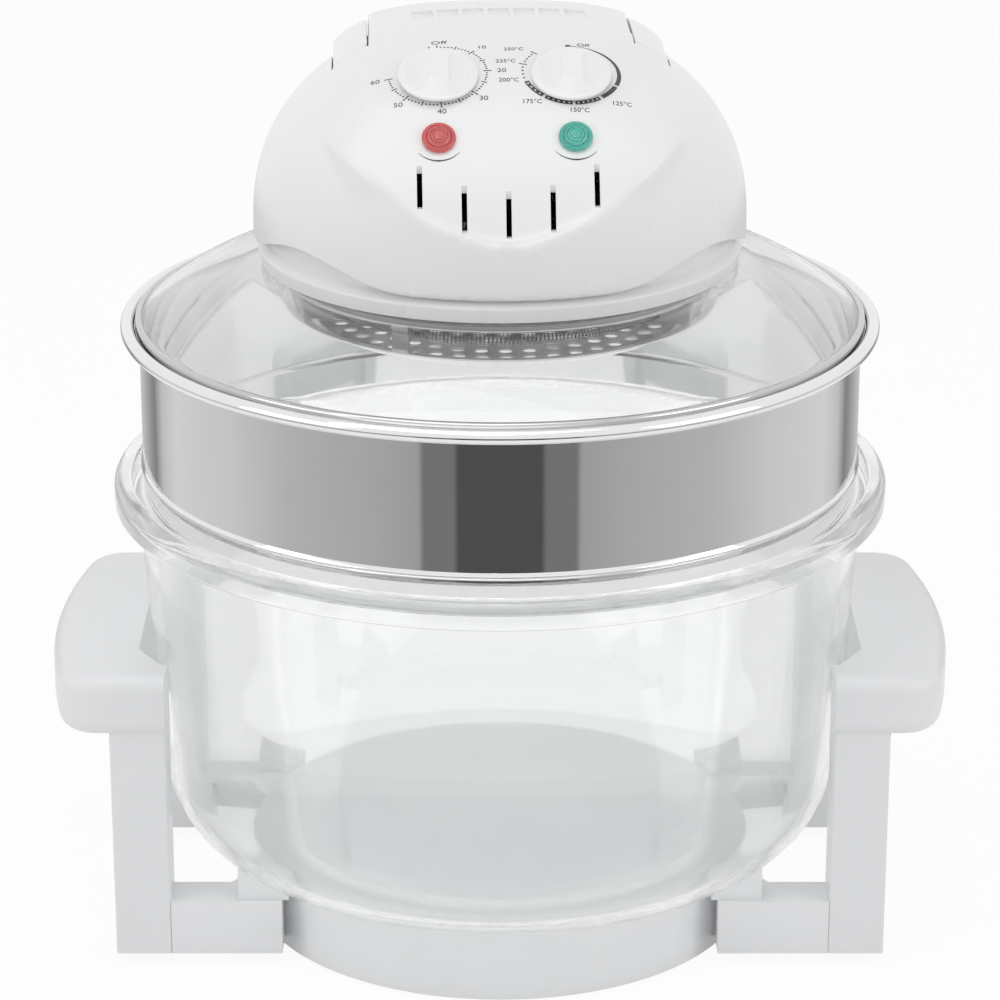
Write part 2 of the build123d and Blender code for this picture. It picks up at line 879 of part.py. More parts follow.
def knob():
    """One knob standing on its panel: local Z points out of the panel."""
    skirt = turned(
        (0, knob_lift, 0),
        (knob_radius, knob_lift, 0.6),
        (knob_radius - 0.6, knob_lift + knob_skirt_height, 0.8),
        (0, knob_lift + knob_skirt_height, 0),
    )
    crown = turned(
        (0, knob_lift + knob_skirt_height - 1, 0),
        (knob_crown_radius, knob_lift + knob_skirt_height - 1, 0),
        (knob_crown_radius - 1, knob_height, 2),
        (0, knob_height, 0),
    )
    depth = knob_height - knob_scoop_floor
    half_scoop = math.sqrt(depth * (2 * knob_scoop_radius - depth))
    scoop_place = Pos(knob_bar_width / 2 + half_scoop, 0, knob_scoop_floor + knob_scoop_radius)
    scoop = scoop_place * Rot(90, 0, 0) * Cylinder(knob_scoop_radius, 4 * knob_radius)
    body = skirt + crown - scoop - scoop.mirror(Plane.YZ)
    return body - rod(knob_shaft_radius, -1, knob_height - knob_cap)


def knob_shaft():
    return rod(knob_shaft_radius, -control_setback - knob_shaft_depth, knob_height - knob_cap)


def control_body(length):
    """Timer or thermostat: a case behind the panel with a bush through it."""
    case = Pos(0, 0, -control_setback - control_depth / 2) * Box(control_width, length, control_depth)
    case = fillet(case.edges().filter_by(Axis.Z), 3)
    bush = rod(bush_radius, -control_setback - 1, -0.2)
    bore = rod(knob_shaft_radius + run_gap, -control_setback - knob_shaft_depth - 0.5, 1)
    return case + bush - bore


def lamp_lens():
    stem = rod(lamp_stem_radius, -lamp_stem_length, 0.5)
    base = rod(lamp_radius, 0.2, 1)
    radius = (lamp_radius ** 2 + (lamp_height - 1) ** 2) / (2 * (lamp_height - 1))
    cap = Pos(0, 0, lamp_height - radius) * Sphere(radius) & rod(lamp_radius, 1, lamp_height + 1)
    return stem + base + cap


def lamp_holder():
    top = -lamp_stem_length
    return rod(lamp_body_radius, top - lamp_body_length, top) + rod(lamp_stem_radius, top - 2, top)


timer_seat = knob_seat(-1)
thermostat_seat = knob_seat(1)
nodes["timer_knob"] = lid_place * (timer_seat * knob())
nodes["timer_shaft"] = lid_place * (timer_seat * knob_shaft())
nodes["thermostat_knob"] = lid_place * (thermostat_seat * knob())
nodes["thermostat_shaft"] = lid_place * (thermostat_seat * knob_shaft())
nodes["timer_body"] = lid_place * (timer_seat * control_body(control_width))
nodes["thermostat_body"] = lid_place * (thermostat_seat * control_body(control_width - 6))
nodes["power_lamp_lens"] = lid_place * (lamp_seat(-1) * lamp_lens())
nodes["heat_lamp_lens"] = lid_place * (lamp_seat(1) * lamp_lens())
nodes["lamp_holders"] = [lid_place * (lamp_seat(side) * lamp_holder()) for side in (-1, 1)]


# ---- Carry handle and its safety switch


def strap():
    """One strap of the handle: crowned like the panel, it bends down behind the dome."""
    back = under_straps(0) - under_straps(strap_thick)
    foot = (grip_bottom + grip_top) / 2
    return back & block(hub_inner_x, hub_outer_x, hub_y, 2 * housing_radius, foot, 2 * housing_top)


def carry_handle():
    grip_ring = rod(grip_inner + grip_thick, grip_bottom, grip_top) - rod(grip_inner, 0, housing_top)
    grip = grip_ring & block(-hub_outer_x, hub_outer_x, 0, 2 * grip_inner, 0, housing_top)
    grip = fillet(grip.edges().filter_by(GeomType.CIRCLE), grip_edge)
    hub = rod_along_x(hub_radius, hub_inner_x, hub_outer_x, hub_y, hub_height) & under_straps(0)
    handle = grip
    for piece in both_sides(hub + strap()):
        handle += piece
    cam_room = block(
        cam_inner_x, cam_outer_x, hub_y - 2 * hub_radius, hub_y,
        hub_height - 2 * hub_radius, hub_height + plunger_radius + cam_gap,
    )
    cam = rod_along_x(cam_radius, cam_inner_x - 1, cam_outer_x + 1, hub_y, hub_height - cam_offset)
    handle -= cam_room - cam
    bore = rod_along_x(pin_radius + run_gap, hub_inner_x - 1, pin_reach + 1, hub_y, hub_height)
    for piece in both_sides(bore):
        handle -= piece
    return handle


def handle_pins():
    wall_face = hub_inner_x - pocket_gap - housing_wall
    pin = rod_along_x(pin_radius, wall_face, pin_reach, hub_y, hub_height)
    head = rod_along_x(pin_head_radius, wall_face - pin_head_height, wall_face, hub_y, hub_height)
    return both_sides(pin + head)


def switch_plunger():
    tip = hub_height - hub_radius - cam_gap
    rod_part = rod(plunger_radius, tip - plunger_length, tip, plunger_x(), hub_y)
    collar_top = tip - plunger_collar_drop
    collar = rod(plunger_collar, collar_top - plunger_collar_height, collar_top, plunger_x(), hub_y)
    return rod_part + collar


def safety_switch():
    tip = hub_height - hub_radius - cam_gap
    top = tip - plunger_length - seat_gap
    x = plunger_x()
    body = block(
        x - switch_width / 2, x + switch_width / 2,
        hub_y - switch_length / 2, hub_y + switch_length / 2,
        top - switch_height, top,
    )
    leg_top = hub_height - hub_radius - pocket_gap - housing_wall - snug_gap
    for side in (-1, 1):
        near = hub_y + side * (plunger_collar + 1)
        leg = block(x - switch_width / 2, x + switch_width / 2, near, near + side * 2, top - 1, leg_top)
        body += leg
    return body


nodes["carry_handle"] = lid_place * carry_handle()
nodes["handle_pins"] = [lid_place * pin for pin in handle_pins()]
nodes["switch_plunger"] = lid_place * switch_plunger()
nodes["safety_switch"] = lid_place * safety_switch()


# ---- Fan drive


def motor_shaft():
    return rod(shaft_radius, shaft_bottom, shaft_top)


def fan_motor():
    core = block(
        -motor_length / 2, motor_length / 2, -motor_width / 2, motor_width / 2,
        bridge_top, bridge_top + motor_height,
    )
    core = fillet(core.edges().filter_by(Axis.Z), 4)
    can = rod(motor_can_radius, bridge_top + motor_height, bridge_top + motor_height + motor_can_height)
    return core + can - rod(shaft_radius + run_gap, 0, housing_top)


def motor_bracket():
    half = bridge_width / 2
    strap = block(-bridge_reach, bridge_reach, -half, half, bridge_height, bridge_top)
    leg = block(bridge_reach - bridge_sheet, bridge_reach, -half, half, shield_top, bridge_top)
    toe = block(bridge_reach, bridge_reach + 10, -half, half, shield_top, shield_top + bridge_sheet)
    for piece in both_sides(leg + toe):
        strap += piece
    return strap - rod(shaft_hole, 0, housing_top)


def fan_blades(count, radius, height, bottom, twist):
    """Flat blades bent up from the fan's disc, each turned about its radius."""
    blades = []
    length = radius - fan_hub_radius
    blade = Box(length, fan_web, height / math.cos(math.radians(twist)))
    middle = fan_hub_radius + length / 2 - 0.5
    for index in range(count):
        placed = Pos(middle, 0, bottom + height / 2) * Rot(twist, 0, 0) * blade
        blades.append(Rot(0, 0, index * 360 / count) * placed)
    return blades


def fan(count, radius, height, bottom, twist):
    hub = rod(fan_hub_radius, bottom, bottom + height)
    disc = rod(radius * 0.55, bottom + height / 2 - fan_web / 2, bottom + height / 2 + fan_web / 2)
    body = hub + disc
    for blade in fan_blades(count, radius, height, bottom, twist):
        body += blade
    body &= rod(radius, bottom, bottom + height)
    return body - rod(shaft_radius, bottom - 1, bottom + height + 1)


def fan_nut():
    top = convection_fan_bottom
    hexagon = extrude(Pos(0, 0, top - nut_height) * RegularPolygon(nut_radius, 6), nut_height)
    return hexagon - rod(shaft_radius, top - 2 * nut_height, top + 1)


nodes["motor_shaft"] = lid_place * motor_shaft()
nodes["fan_motor"] = lid_place * fan_motor()
nodes["motor_bracket"] = lid_place * motor_bracket()
nodes["cooling_fan"] = lid_place * fan(
    cooling_blades, cooling_fan_radius, cooling_fan_height, cooling_fan_bottom, 40
)
nodes["convection_fan"] = lid_place * fan(
    convection_blades, convection_fan_radius, convection_fan_height, convection_fan_bottom, 25
)
nodes["fan_nut"] = lid_place * fan_nut()


# ---- Heater


def screw_holes(plate):
    for x, y in ring_of_places(boss_angles, boss_reach):
        plate -= rod(screw_radius + snug_gap, -50, 50, x, y)
    return plate


def reflector_pan():
    flange_top = -lid_glass_wall - gasket_thick
    flange_bottom = flange_top - plate_sheet
    pan = turned(
        (shaft_hole, plate_bottom, 0),
        (reflector_radius - plate_sheet, plate_bottom, 2),
        (reflector_radius - plate_sheet, flange_bottom, 0),
        (reflector_flange, flange_bottom, 0),
        (reflector_flange, flange_top, 0),
        (reflector_radius, flange_top, 0),
        (reflector_radius, plate_top, 2.8),
        (shaft_hole, plate_top, 0),
    )
    return screw_holes(pan)


def heat_shield():
    plate = turned(
        (shaft_hole, shield_bottom, 0),
        (shield_radius, shield_bottom, 0),
        (shield_radius, shield_bottom + shield_lip, 0),
        (shield_radius - plate_sheet, shield_bottom + shield_lip, 0),
        (shield_radius - plate_sheet, shield_top, 0),
        (shaft_hole, shield_top, 0),
    )
    return screw_holes(plate)


def halogen_tube():
    start = 90 + tube_gap_angle / 2
    path = CenterArc((0, 0), tube_ring_radius, start, 360 - tube_gap_angle)
    section = Plane(origin=path @ 0, z_dir=path % 0) * Circle(tube_radius)
    return Pos(0, 0, -tube_drop) * sweep(section, path)


def tube_end(side):
    angle = math.radians(90 - side * tube_gap_angle / 2)
    return tube_ring_radius * math.cos(angle), tube_ring_radius * math.sin(angle)


def tube_sockets():
    x, y = tube_end(1)
    inner = x + socket_grip - socket_width
    body = block(
        inner, x + socket_grip, y - socket_depth / 2, y + socket_depth / 2,
        -tube_drop - tube_radius - 2, plate_bottom,
    )
    body = fillet(body.edges().filter_by(Axis.Z), 2)
    ring = Pos(0, 0, -tube_drop) * Torus(tube_ring_radius, tube_radius + snug_gap)
    ring &= block(x - 1.2, 200, 0, 200, -100, 100)
    return both_sides(body - ring)


def tube_clips():
    body = block(
        clip_reach - clip_length / 2, clip_reach + clip_length / 2, -clip_width / 2, clip_width / 2,
        -tube_drop - tube_radius - clip_under, plate_bottom,
    )
    body = fillet(body.edges().filter_by(Axis.Z), 2)
    ring = Pos(0, 0, -tube_drop) * Torus(tube_ring_radius, tube_radius + snug_gap)
    return [Rot(0, 0, angle) * (body - ring) for angle in clip_angles]


def heater_guard():
    bottom = -guard_drop
    sheet_t = plate_sheet
    dish = turned(
        (0, bottom, 0),
        (guard_flat_radius, bottom, 4),
        (guard_radius - guard_rim, bottom + guard_rise, 1.5),
        (guard_radius, bottom + guard_rise, 0),
        (guard_radius, bottom + guard_rise + sheet_t, 0),
        (guard_radius - guard_rim - 0.3, bottom + guard_rise + sheet_t, 2.3),
        (guard_flat_radius - 0.3, bottom + sheet_t, 4.8),
        (0, bottom + sheet_t, 0),
    )
    holes = []
    for ring in range(guard_ring_count):
        reach = guard_ring_first + ring * guard_ring_pitch
        count = guard_hole_count * (ring + 2)
        angles = [1 + index * 360 / count for index in range(count)]
        holes += [rod(guard_hole, bottom - 1, bottom + 2, x, y) for x, y in ring_of_places(angles, reach)]
    for spot in bracket_spots():
        holes.append(spot * guard_screw_shank(guard_screw_radius + snug_gap, 1))
    return dish - holes


def bracket_spots():
    return [Rot(0, 0, angle) for angle in bracket_angles]


def guard_bracket():
    half = bracket_width / 2
    low = -guard_drop + plate_sheet
    strap = block(bracket_radius, bracket_radius + bracket_sheet, -half, half, low, plate_bottom)
    foot = block(bracket_radius - bracket_foot, bracket_radius, -half, half, low, low + bracket_sheet)
    head = block(
        bracket_radius, bracket_radius + bracket_head, -half, half,
        plate_bottom - bracket_sheet, plate_bottom,
    )
    return strap + foot + head - guard_screw_shank(guard_screw_radius + snug_gap, 0)


def guard_screw_shank(radius, longer):
    reach = bracket_radius - bracket_foot / 2
    low = -guard_drop
    return rod(radius, low - longer, low + plate_sheet + bracket_sheet + 0.5, reach, 0)


def guard_screw():
    reach = bracket_radius - bracket_foot / 2
    head = rod(guard_screw_head, -guard_drop - guard_screw_height, -guard_drop, reach, 0)
    return head + guard_screw_shank(guard_screw_radius, 0)


def thermostat_bulb():
    height = -bulb_drop
    capsule = rod_along_x(bulb_radius, -bulb_length / 2, bulb_length / 2, bulb_y, height)
    clip = block(-2, 2, bulb_y - 1, bulb_y + 1, height, plate_bottom)
    for x in (-bulb_length / 4, bulb_length / 4):
        capsule += Pos(x, 0, 0) * clip
    return capsule


def head_screws():
    screws = []
    for x, y in ring_of_places(boss_angles, boss_reach):
        head = rod(screw_head_radius, plate_bottom - screw_head_height, plate_bottom, x, y)
        shank = rod(screw_radius, plate_bottom, shield_top + pilot_depth - 1, x, y)
        screws.append(head + shank)
    return screws


nodes["reflector_pan"] = lid_place * reflector_pan()
nodes["heat_shield"] = lid_place * heat_shield()
nodes["halogen_tube"] = lid_place * halogen_tube()
nodes["tube_sockets"] = [lid_place * piece for piece in tube_sockets()]
nodes["tube_clips"] = [lid_place * piece for piece in tube_clips()]
nodes["heater_guard"] = lid_place * heater_guard()
nodes["guard_brackets"] = [lid_place * spot * guard_bracket() for spot in bracket_spots()]
nodes["guard_screws"] = [lid_place * spot * guard_screw() for spot in bracket_spots()]
nodes["thermostat_bulb"] = lid_place * thermostat_bulb()
nodes["head_screws"] = [lid_place * piece for piece in head_screws()]


# ---- Wiring


def terminal_block():
    body = block(
        -terminal_width / 2, terminal_width / 2, terminal_y, terminal_y + terminal_depth,
        shield_top, shield_top + terminal_height,
    )
    for x in (-12, 0, 12):
        body -= rod(2.5, shield_top + terminal_height - 5, shield_top + terminal_height + 1,
                    x, terminal_y + terminal_depth / 2)
    return body


def cord_inlet():
    """Appliance inlet in the housing's back wall: a flanged socket with pins."""
    half = inlet_width / 2
    top = inlet_bottom + inlet_height
    face = housing_radius + inlet_flange_thick
    body = block(-half, half, face - inlet_depth, face, inlet_bottom, top)
    flange = block(
        -half - inlet_flange, half + inlet_flange, housing_radius, face,
        inlet_bottom - inlet_flange, top + inlet_flange,
    )
    flange = fillet(flange.edges().filter_by(Axis.Y), 2.5)
    recess = block(-half + 3, half - 3, face - inlet_recess, face + 1, inlet_bottom + 3, top - 3)
    inlet = body + flange - recess
    for x, z in ((-7, -2), (0, 2), (7, -2)):
        middle = inlet_bottom + inlet_height / 2
        inlet += block(x - 1, x + 1, face - inlet_recess - 1, face - 3, middle + z - 2, middle + z + 2)
    return inlet


nodes["terminal_block"] = lid_place * terminal_block()
nodes["cord_inlet"] = lid_place * cord_inlet()


# ---- Write one file for each node

os.makedirs("parts", exist_ok=True)
for name, shape in nodes.items():
    solids = shape if isinstance(shape, list) else [shape]
    flat = [solid for item in solids for solid in item.solids()]
    export_step(Compound(children=flat) if len(flat) > 1 else flat[0], f"parts/{name}.step")
    print(name, len(flat))
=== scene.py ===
import json
import math

import bmesh
import bpy
from mathutils import Matrix, Vector


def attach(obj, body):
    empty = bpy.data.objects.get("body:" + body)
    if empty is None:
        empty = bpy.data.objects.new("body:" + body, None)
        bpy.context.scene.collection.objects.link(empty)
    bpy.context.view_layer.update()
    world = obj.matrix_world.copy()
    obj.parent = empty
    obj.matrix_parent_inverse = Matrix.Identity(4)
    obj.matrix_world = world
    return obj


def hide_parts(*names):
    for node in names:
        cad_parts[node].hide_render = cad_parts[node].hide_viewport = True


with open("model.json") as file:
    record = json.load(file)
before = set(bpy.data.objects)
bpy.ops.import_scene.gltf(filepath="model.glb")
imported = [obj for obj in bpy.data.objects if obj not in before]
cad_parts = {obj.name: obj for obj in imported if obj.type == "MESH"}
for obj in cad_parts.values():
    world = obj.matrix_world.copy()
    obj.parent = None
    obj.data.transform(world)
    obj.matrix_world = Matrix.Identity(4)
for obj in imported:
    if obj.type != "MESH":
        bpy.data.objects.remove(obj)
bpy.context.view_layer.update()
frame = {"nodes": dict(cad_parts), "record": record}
record = frame["record"]
print("frame loaded:", len(frame["nodes"]), "nodes")


# node maths and materials


class Wire:  # one output of a node, so that maths on it reads as maths
    def __init__(self, paint, socket):
        self.paint = paint
        self.socket = socket

    def __add__(self, other):
        return self.paint.maths("ADD", self, other)

    def __radd__(self, other):
        return self.paint.maths("ADD", other, self)

    def __sub__(self, other):
        return self.paint.maths("SUBTRACT", self, other)

    def __rsub__(self, other):
        return self.paint.maths("SUBTRACT", other, self)

    def __mul__(self, other):
        return self.paint.maths("MULTIPLY", self, other)

    def __rmul__(self, other):
        return self.paint.maths("MULTIPLY", other, self)

    def __truediv__(self, other):
        return self.paint.maths("DIVIDE", self, other)

    def atMost(self, limit):
        return self.paint.maths("MINIMUM", self, limit)

    def atLeast(self, limit):
        return self.paint.maths("MAXIMUM", self, limit)


class Paint:  # a material's or the world's nodes
    def __init__(self, owner):
        owner.use_nodes = True
        self.owner = owner
        self.tree = owner.node_tree
        self.tree.nodes.clear()

    def node(self, kind, settings, sockets, out=0):
        made = self.tree.nodes.new(kind)
        for key, value in settings.items():
            if key == "stops":
                stops = made.color_ramp.elements
                while len(stops) < len(value):
                    stops.new(0.5)
                for stop, (position, colour) in zip(stops, value):
                    stop.position = position
                    stop.color = colour
            else:
                setattr(made, key, value)
        for key, value in sockets.items():
            if isinstance(value, Wire):
                self.tree.links.new(value.socket, made.inputs[key])
            else:
                made.inputs[key].default_value = value
        return Wire(self, made.outputs[out] if len(made.outputs) else None)

    def maths(self, operation, first, second=0.0):
        return self.node("ShaderNodeMath", {"operation": operation}, {0: first, 1: second})

    def spot(self):
        return self.node("ShaderNodeTexCoord", {}, {}, "Object")

    def along(self, axis):
        return self.node("ShaderNodeSeparateXYZ", {}, {"Vector": self.spot()}, axis)

    def rayIs(self, *kinds):  # 1 for rays of any of these kinds
        found = 0.0
        for kind in kinds:
            ray = self.node("ShaderNodeLightPath", {}, {}, "Is " + kind + " Ray")
            found = ray.atLeast(found)
        return found

    def noise(self, size, detail=2.0, scale=(1, 1, 1)):
        place = self.node("ShaderNodeMapping", {}, {"Vector": self.spot(), "Scale": scale})
        return self.node("ShaderNodeTexNoise", {}, {"Vector": place, "Scale": 1 / size, "Detail": detail})

    def between(self, share, low, high):
        return self.node("ShaderNodeMix", {"data_type": "RGBA"}, {0: share, 6: low, 7: high}, 2)

    def tinted(self, colour, share, pattern):  # a colour that strays by this share, darker and lighter
        return self.between(pattern, shaded(colour, 1 - share), shaded(colour, 1 + share))

    def bump(self, height, strength, depth):
        return self.node("ShaderNodeBump", {}, {
            "Strength": strength, "Distance": depth, "Height": height,
        })

    def surface(self, sockets):
        return self.node("ShaderNodeBsdfPrincipled", {}, sockets)

    def mixed(self, share, first, second):
        return self.node("ShaderNodeMixShader", {}, {0: share, 1: first, 2: second})

    def done(self, shader, kind="ShaderNodeOutputMaterial"):
        self.node(kind, {}, {"Surface": shader})
        return self.owner


def newPaint(name):
    return Paint(bpy.data.materials.new(name))


def shaded(colour, factor=1):
    return tuple(min(1, part * factor) for part in colour) + (1,)


def spread(base, share, pattern):  # a value that strays from its base by half this share each way
    return base * (1 - share / 2) + pattern * (base * share)


# camera, light and the place where the oven stands

view = {"height": 0.7709, "back": 1.601, "down": 19.98, "lens": 139.536, "sensor": 36}
studio = {
    "worldLight": 0.62, "middle": (0, 0, 0.2),
    "floorSize": 9.0, "floorDrop": 0.0002, "floorColour": (0.9, 0.9, 0.9), "floorWhite": 0.93,
}
lamps = [
    {"name": "topBox", "place": (-0.3, -0.5, 1.9), "size": 1.4, "power": 7.2, "mirrored": True},
    {"name": "leftBox", "place": (-1.7, -0.9, 0.9), "size": 1.2, "power": 6, "mirrored": True},
    {"name": "rightBox", "place": (1.7, -0.9, 0.9), "size": 1.2, "power": 7, "mirrored": True},
    {"name": "fillBox", "place": (0, 0, 0.262), "size": 0.2, "power": 0.14, "mirrored": False},  # over the bowl
]
wall = {  # a low wall round the oven, seen only in polished steel; stops run from the front to the back
    "radius": 0.62, "height": 0.2, "sides": 128, "veil": 0.75, "mist": (0.78, 0.78, 0.78),
    "stops": [
        (0.0, 0.088), (0.064, 0.088), (0.068, 0.2), (0.116, 0.2), (0.122, 0.4), (0.2, 0.46), (0.34, 0.53),
        (0.46, 0.68), (0.62, 0.76), (0.68, 0.6), (0.72, 0.25), (0.8, 0.5), (1.0, 0.8),
    ],
}


def clearPick():
    if bpy.context.object and bpy.context.object.mode != "OBJECT":
        bpy.ops.object.mode_set(mode="OBJECT")
    bpy.ops.object.select_all(action="DESELECT")


def pick(piece):
    clearPick()
    piece.select_set(True)
    bpy.context.view_layer.objects.active = piece


def makeCamera():
    clearPick()
    bpy.ops.object.camera_add(
        location=(0, -view["back"], view["height"]),
        rotation=(math.radians(90 - view["down"]), 0, 0),
    )
    camera = bpy.context.object
    camera.data.lens = view["lens"]
    camera.data.sensor_width = view["sensor"]
    bpy.context.scene.camera = camera
    bpy.context.scene.view_settings.view_transform = "Standard"


def makeWorld():
    world = bpy.data.worlds.new("studioWorld")
    bpy.context.scene.world = world
    paint = Paint(world)
    seen = paint.rayIs("Camera", "Glossy", "Transmission")
    strength = studio["worldLight"] + (1 - studio["worldLight"]) * seen
    sky = paint.node("ShaderNodeBackground", {}, {"Color": (1, 1, 1, 1), "Strength": strength})
    paint.done(sky, "ShaderNodeOutputWorld")


def makeFloor():
    bpy.ops.mesh.primitive_plane_add(size=studio["floorSize"], location=(0, 0, -studio["floorDrop"]))
    floor = bpy.context.object
    floor.name = "floor"
    paint = newPaint("floorPaint")
    seen = paint.rayIs("Camera", "Glossy", "Transmission")
    matt = paint.node("ShaderNodeBsdfDiffuse", {}, {"Color": shaded(studio["floorColour"])})
    white = paint.node("ShaderNodeEmission", {}, {"Color": (1, 1, 1, 1), "Strength": 1.0})
    floor.data.materials.append(paint.done(paint.mixed(seen * studio["floorWhite"], matt, white)))


def hangLamp(name, place, size, power, mirrored):
    away = Vector(studio["middle"]) - Vector(place)
    bpy.ops.object.light_add(type="AREA", location=place, rotation=away.to_track_quat("-Z", "Y").to_euler())
    lamp = bpy.context.object
    lamp.name = name
    lamp.data.size = size
    lamp.data.energy = power
    lamp.visible_camera = False
    lamp.visible_transmission = False
    lamp.visible_glossy = mirrored


def makeWall():
    bpy.ops.mesh.primitive_cylinder_add(
        vertices=wall["sides"], radius=wall["radius"], depth=wall["height"], end_fill_type="NOTHING",
        location=(0, 0, wall["height"] / 2),
    )
    flag = bpy.context.object
    flag.name = "studioWall"
    paint = newPaint("wallPaint")
    angle = paint.maths("ARCTAN2", paint.along("X"), 0 - paint.along("Y"))
    share = paint.maths("ABSOLUTE", angle / math.pi)
    stops = [(place, shaded((shade,) * 3)) for place, shade in wall["stops"]]
    shade = paint.node("ShaderNodeValToRGB", {"stops": stops}, {"Fac": share})
    passed = paint.node("ShaderNodeLightPath", {}, {}, "Transmission Depth")  # the glass walls gone through
    shade = paint.between(passed.atMost(1.0) * wall["veil"], shade, shaded(wall["mist"]))
    flag.data.materials.append(paint.done(paint.node("ShaderNodeEmission", {}, {"Color": shade})))
    flag.visible_camera = False
    flag.visible_diffuse = False
    flag.visible_shadow = False
    flag.visible_transmission = False


makeCamera()
makeWorld()
makeFloor()
for box in lamps:
    hangLamp(**box)
makeWall()
print("studio ready")


# finishes

plasticLook = {
    "stand": {"colour": (0.80, 0.805, 0.815), "gloss": 0.38, "grain": 0.0011, "bump": 0.05},
    "shell": {"colour": (0.85, 0.852, 0.858), "gloss": 0.27, "grain": 0.0014, "bump": 0.03},
    "knob": {"colour": (0.87, 0.87, 0.875), "gloss": 0.24, "grain": 0.0009, "bump": 0.03},
    "black": {"colour": (0.035, 0.035, 0.038), "gloss": 0.45, "grain": 0.0008, "bump": 0.08},
    "ceramic": {"colour": (0.86, 0.85, 0.82), "gloss": 0.62, "grain": 0.0006, "bump": 0.3},
    "rubber": {"colour": (0.16, 0.16, 0.165), "gloss": 0.7, "grain": 0.0006, "bump": 0.2},
    "seal": {"colour": (0.66, 0.66, 0.67), "gloss": 0.6, "grain": 0.0008, "bump": 0.1},
    "ink": {"colour": (0.065, 0.067, 0.07), "gloss": 0.5, "grain": 0.0005, "bump": 0.05},
}
metalLook = {
    "ring": {"colour": (0.80, 0.80, 0.80), "rough": 0.045, "streak": (1, 1, 60), "bump": 0.012},
    "rim": {"colour": (0.56, 0.56, 0.565), "rough": 0.11, "streak": (1, 1, 40), "bump": 0.03},
    "sheet": {"colour": (0.62, 0.62, 0.63), "rough": 0.3, "streak": (1, 30, 1), "bump": 0.06},
    "bright": {"colour": (0.83, 0.83, 0.83), "rough": 0.16, "streak": (1, 1, 1), "bump": 0.05},
    "screw": {"colour": (0.60, 0.60, 0.60), "rough": 0.28, "streak": (1, 1, 1), "bump": 0.05},
    "core": {"colour": (0.22, 0.22, 0.23), "rough": 0.5, "streak": (1, 1, 90), "bump": 0.3},
}
guardLook = {  # the flat is darker, the rim is bright; sizes in metres
    "colour": (0.30, 0.30, 0.31), "rimColour": (0.86, 0.86, 0.86), "rimStart": 0.0795, "rimFade": 0.0025,
    "rough": 0.2, "bump": 0.05,
}
glassLook = {  # direct is the share of light that goes straight through
    "bowl": {"colour": (0.985, 0.99, 0.99), "wave": 0.035, "rough": 0.015, "bend": 1.36, "direct": 0.24},
    "lid": {"colour": (0.975, 0.98, 0.98), "wave": 0.03, "rough": 0.01, "bend": 1.42, "direct": 0.12},
    "tube": {"colour": (0.97, 0.97, 0.97), "wave": 0.02, "rough": 0.02, "bend": 1.42, "direct": 0.0},
}
lensLook = {
    "red": {"colour": (0.86, 0.2, 0.2), "rough": 0.08, "clear": 0.55},
    "green": {"colour": (0.16, 0.68, 0.56), "rough": 0.08, "clear": 0.55},
}
bumpDepth = {"plastic": 0.0002, "metal": 0.0002, "glass": 0.001, "lens": 0.0003}
texture = {  # size in metres, detail
    "plasticPatch": (0.05, 3), "metalPatch": (0.03, 3), "metalStreak": (0.02, 4), "guardPatch": (0.02, 4),
    "glassWave": (0.03, 2), "glassSpeck": (0.004, 2), "lensPatch": (0.003, 2),
}


def plastic(name):
    look = plasticLook[name]
    paint = newPaint(name + "Plastic")
    patch = paint.noise(*texture["plasticPatch"])
    grain = paint.noise(look["grain"], 1)
    return paint.done(paint.surface({
        "Base Color": paint.tinted(look["colour"], 0.015, patch),
        "Roughness": spread(look["gloss"], 0.16, patch), "IOR": 1.49,
        "Normal": paint.bump(grain, look["bump"], bumpDepth["plastic"]),
    }))


def metal(name):
    look = metalLook[name]
    paint = newPaint(name + "Steel")
    patch = paint.noise(*texture["metalPatch"])
    streak = paint.noise(*texture["metalStreak"], look["streak"])
    return paint.done(paint.surface({
        "Base Color": paint.tinted(look["colour"], 0.03, patch),
        "Roughness": spread(look["rough"], 0.4, streak), "Metallic": 1.0,
        "Normal": paint.bump(streak, look["bump"], bumpDepth["metal"]),
    }))


def guardMetal():
    look = guardLook
    paint = newPaint("guardMetal")
    x = paint.along("X")
    y = paint.along("Y")
    away = paint.maths("SQRT", x * x + y * y)
    rim = ((away - look["rimStart"]) / look["rimFade"]).atLeast(0.0).atMost(1.0)
    patch = paint.noise(*texture["guardPatch"])
    return paint.done(paint.surface({
        "Base Color": paint.between(rim, shaded(look["colour"]), shaded(look["rimColour"])),
        "Roughness": spread(look["rough"], 0.4, patch), "Metallic": 1.0,
        "Normal": paint.bump(patch, look["bump"], bumpDepth["metal"]),
    }))


def glass(name):
    look = glassLook[name]
    paint = newPaint(name + "Glass")
    wave = paint.noise(*texture["glassWave"])
    speck = paint.noise(*texture["glassSpeck"])
    clear = paint.surface({
        "Base Color": paint.between(wave, shaded(look["colour"], 0.99), shaded(look["colour"])),
        "Roughness": spread(look["rough"], 1, speck), "IOR": look["bend"], "Transmission Weight": 1.0,
        "Normal": paint.bump(wave, look["wave"], bumpDepth["glass"]),
    })
    straight = paint.rayIs("Shadow", "Diffuse").atLeast(look["direct"])
    through = paint.node("ShaderNodeBsdfTransparent", {}, {"Color": shaded(look["colour"])})
    return paint.done(paint.mixed(straight, clear, through))


def lens(name):
    look = lensLook[name]
    paint = newPaint(name + "Lens")
    patch = paint.noise(*texture["lensPatch"])
    return paint.done(paint.surface({
        "Base Color": paint.tinted(look["colour"], 0.15, patch),
        "Roughness": look["rough"] + patch * 0.05, "IOR": 1.5, "Transmission Weight": look["clear"],
        "Normal": paint.bump(patch, 0.1, bumpDepth["lens"]),
    }))


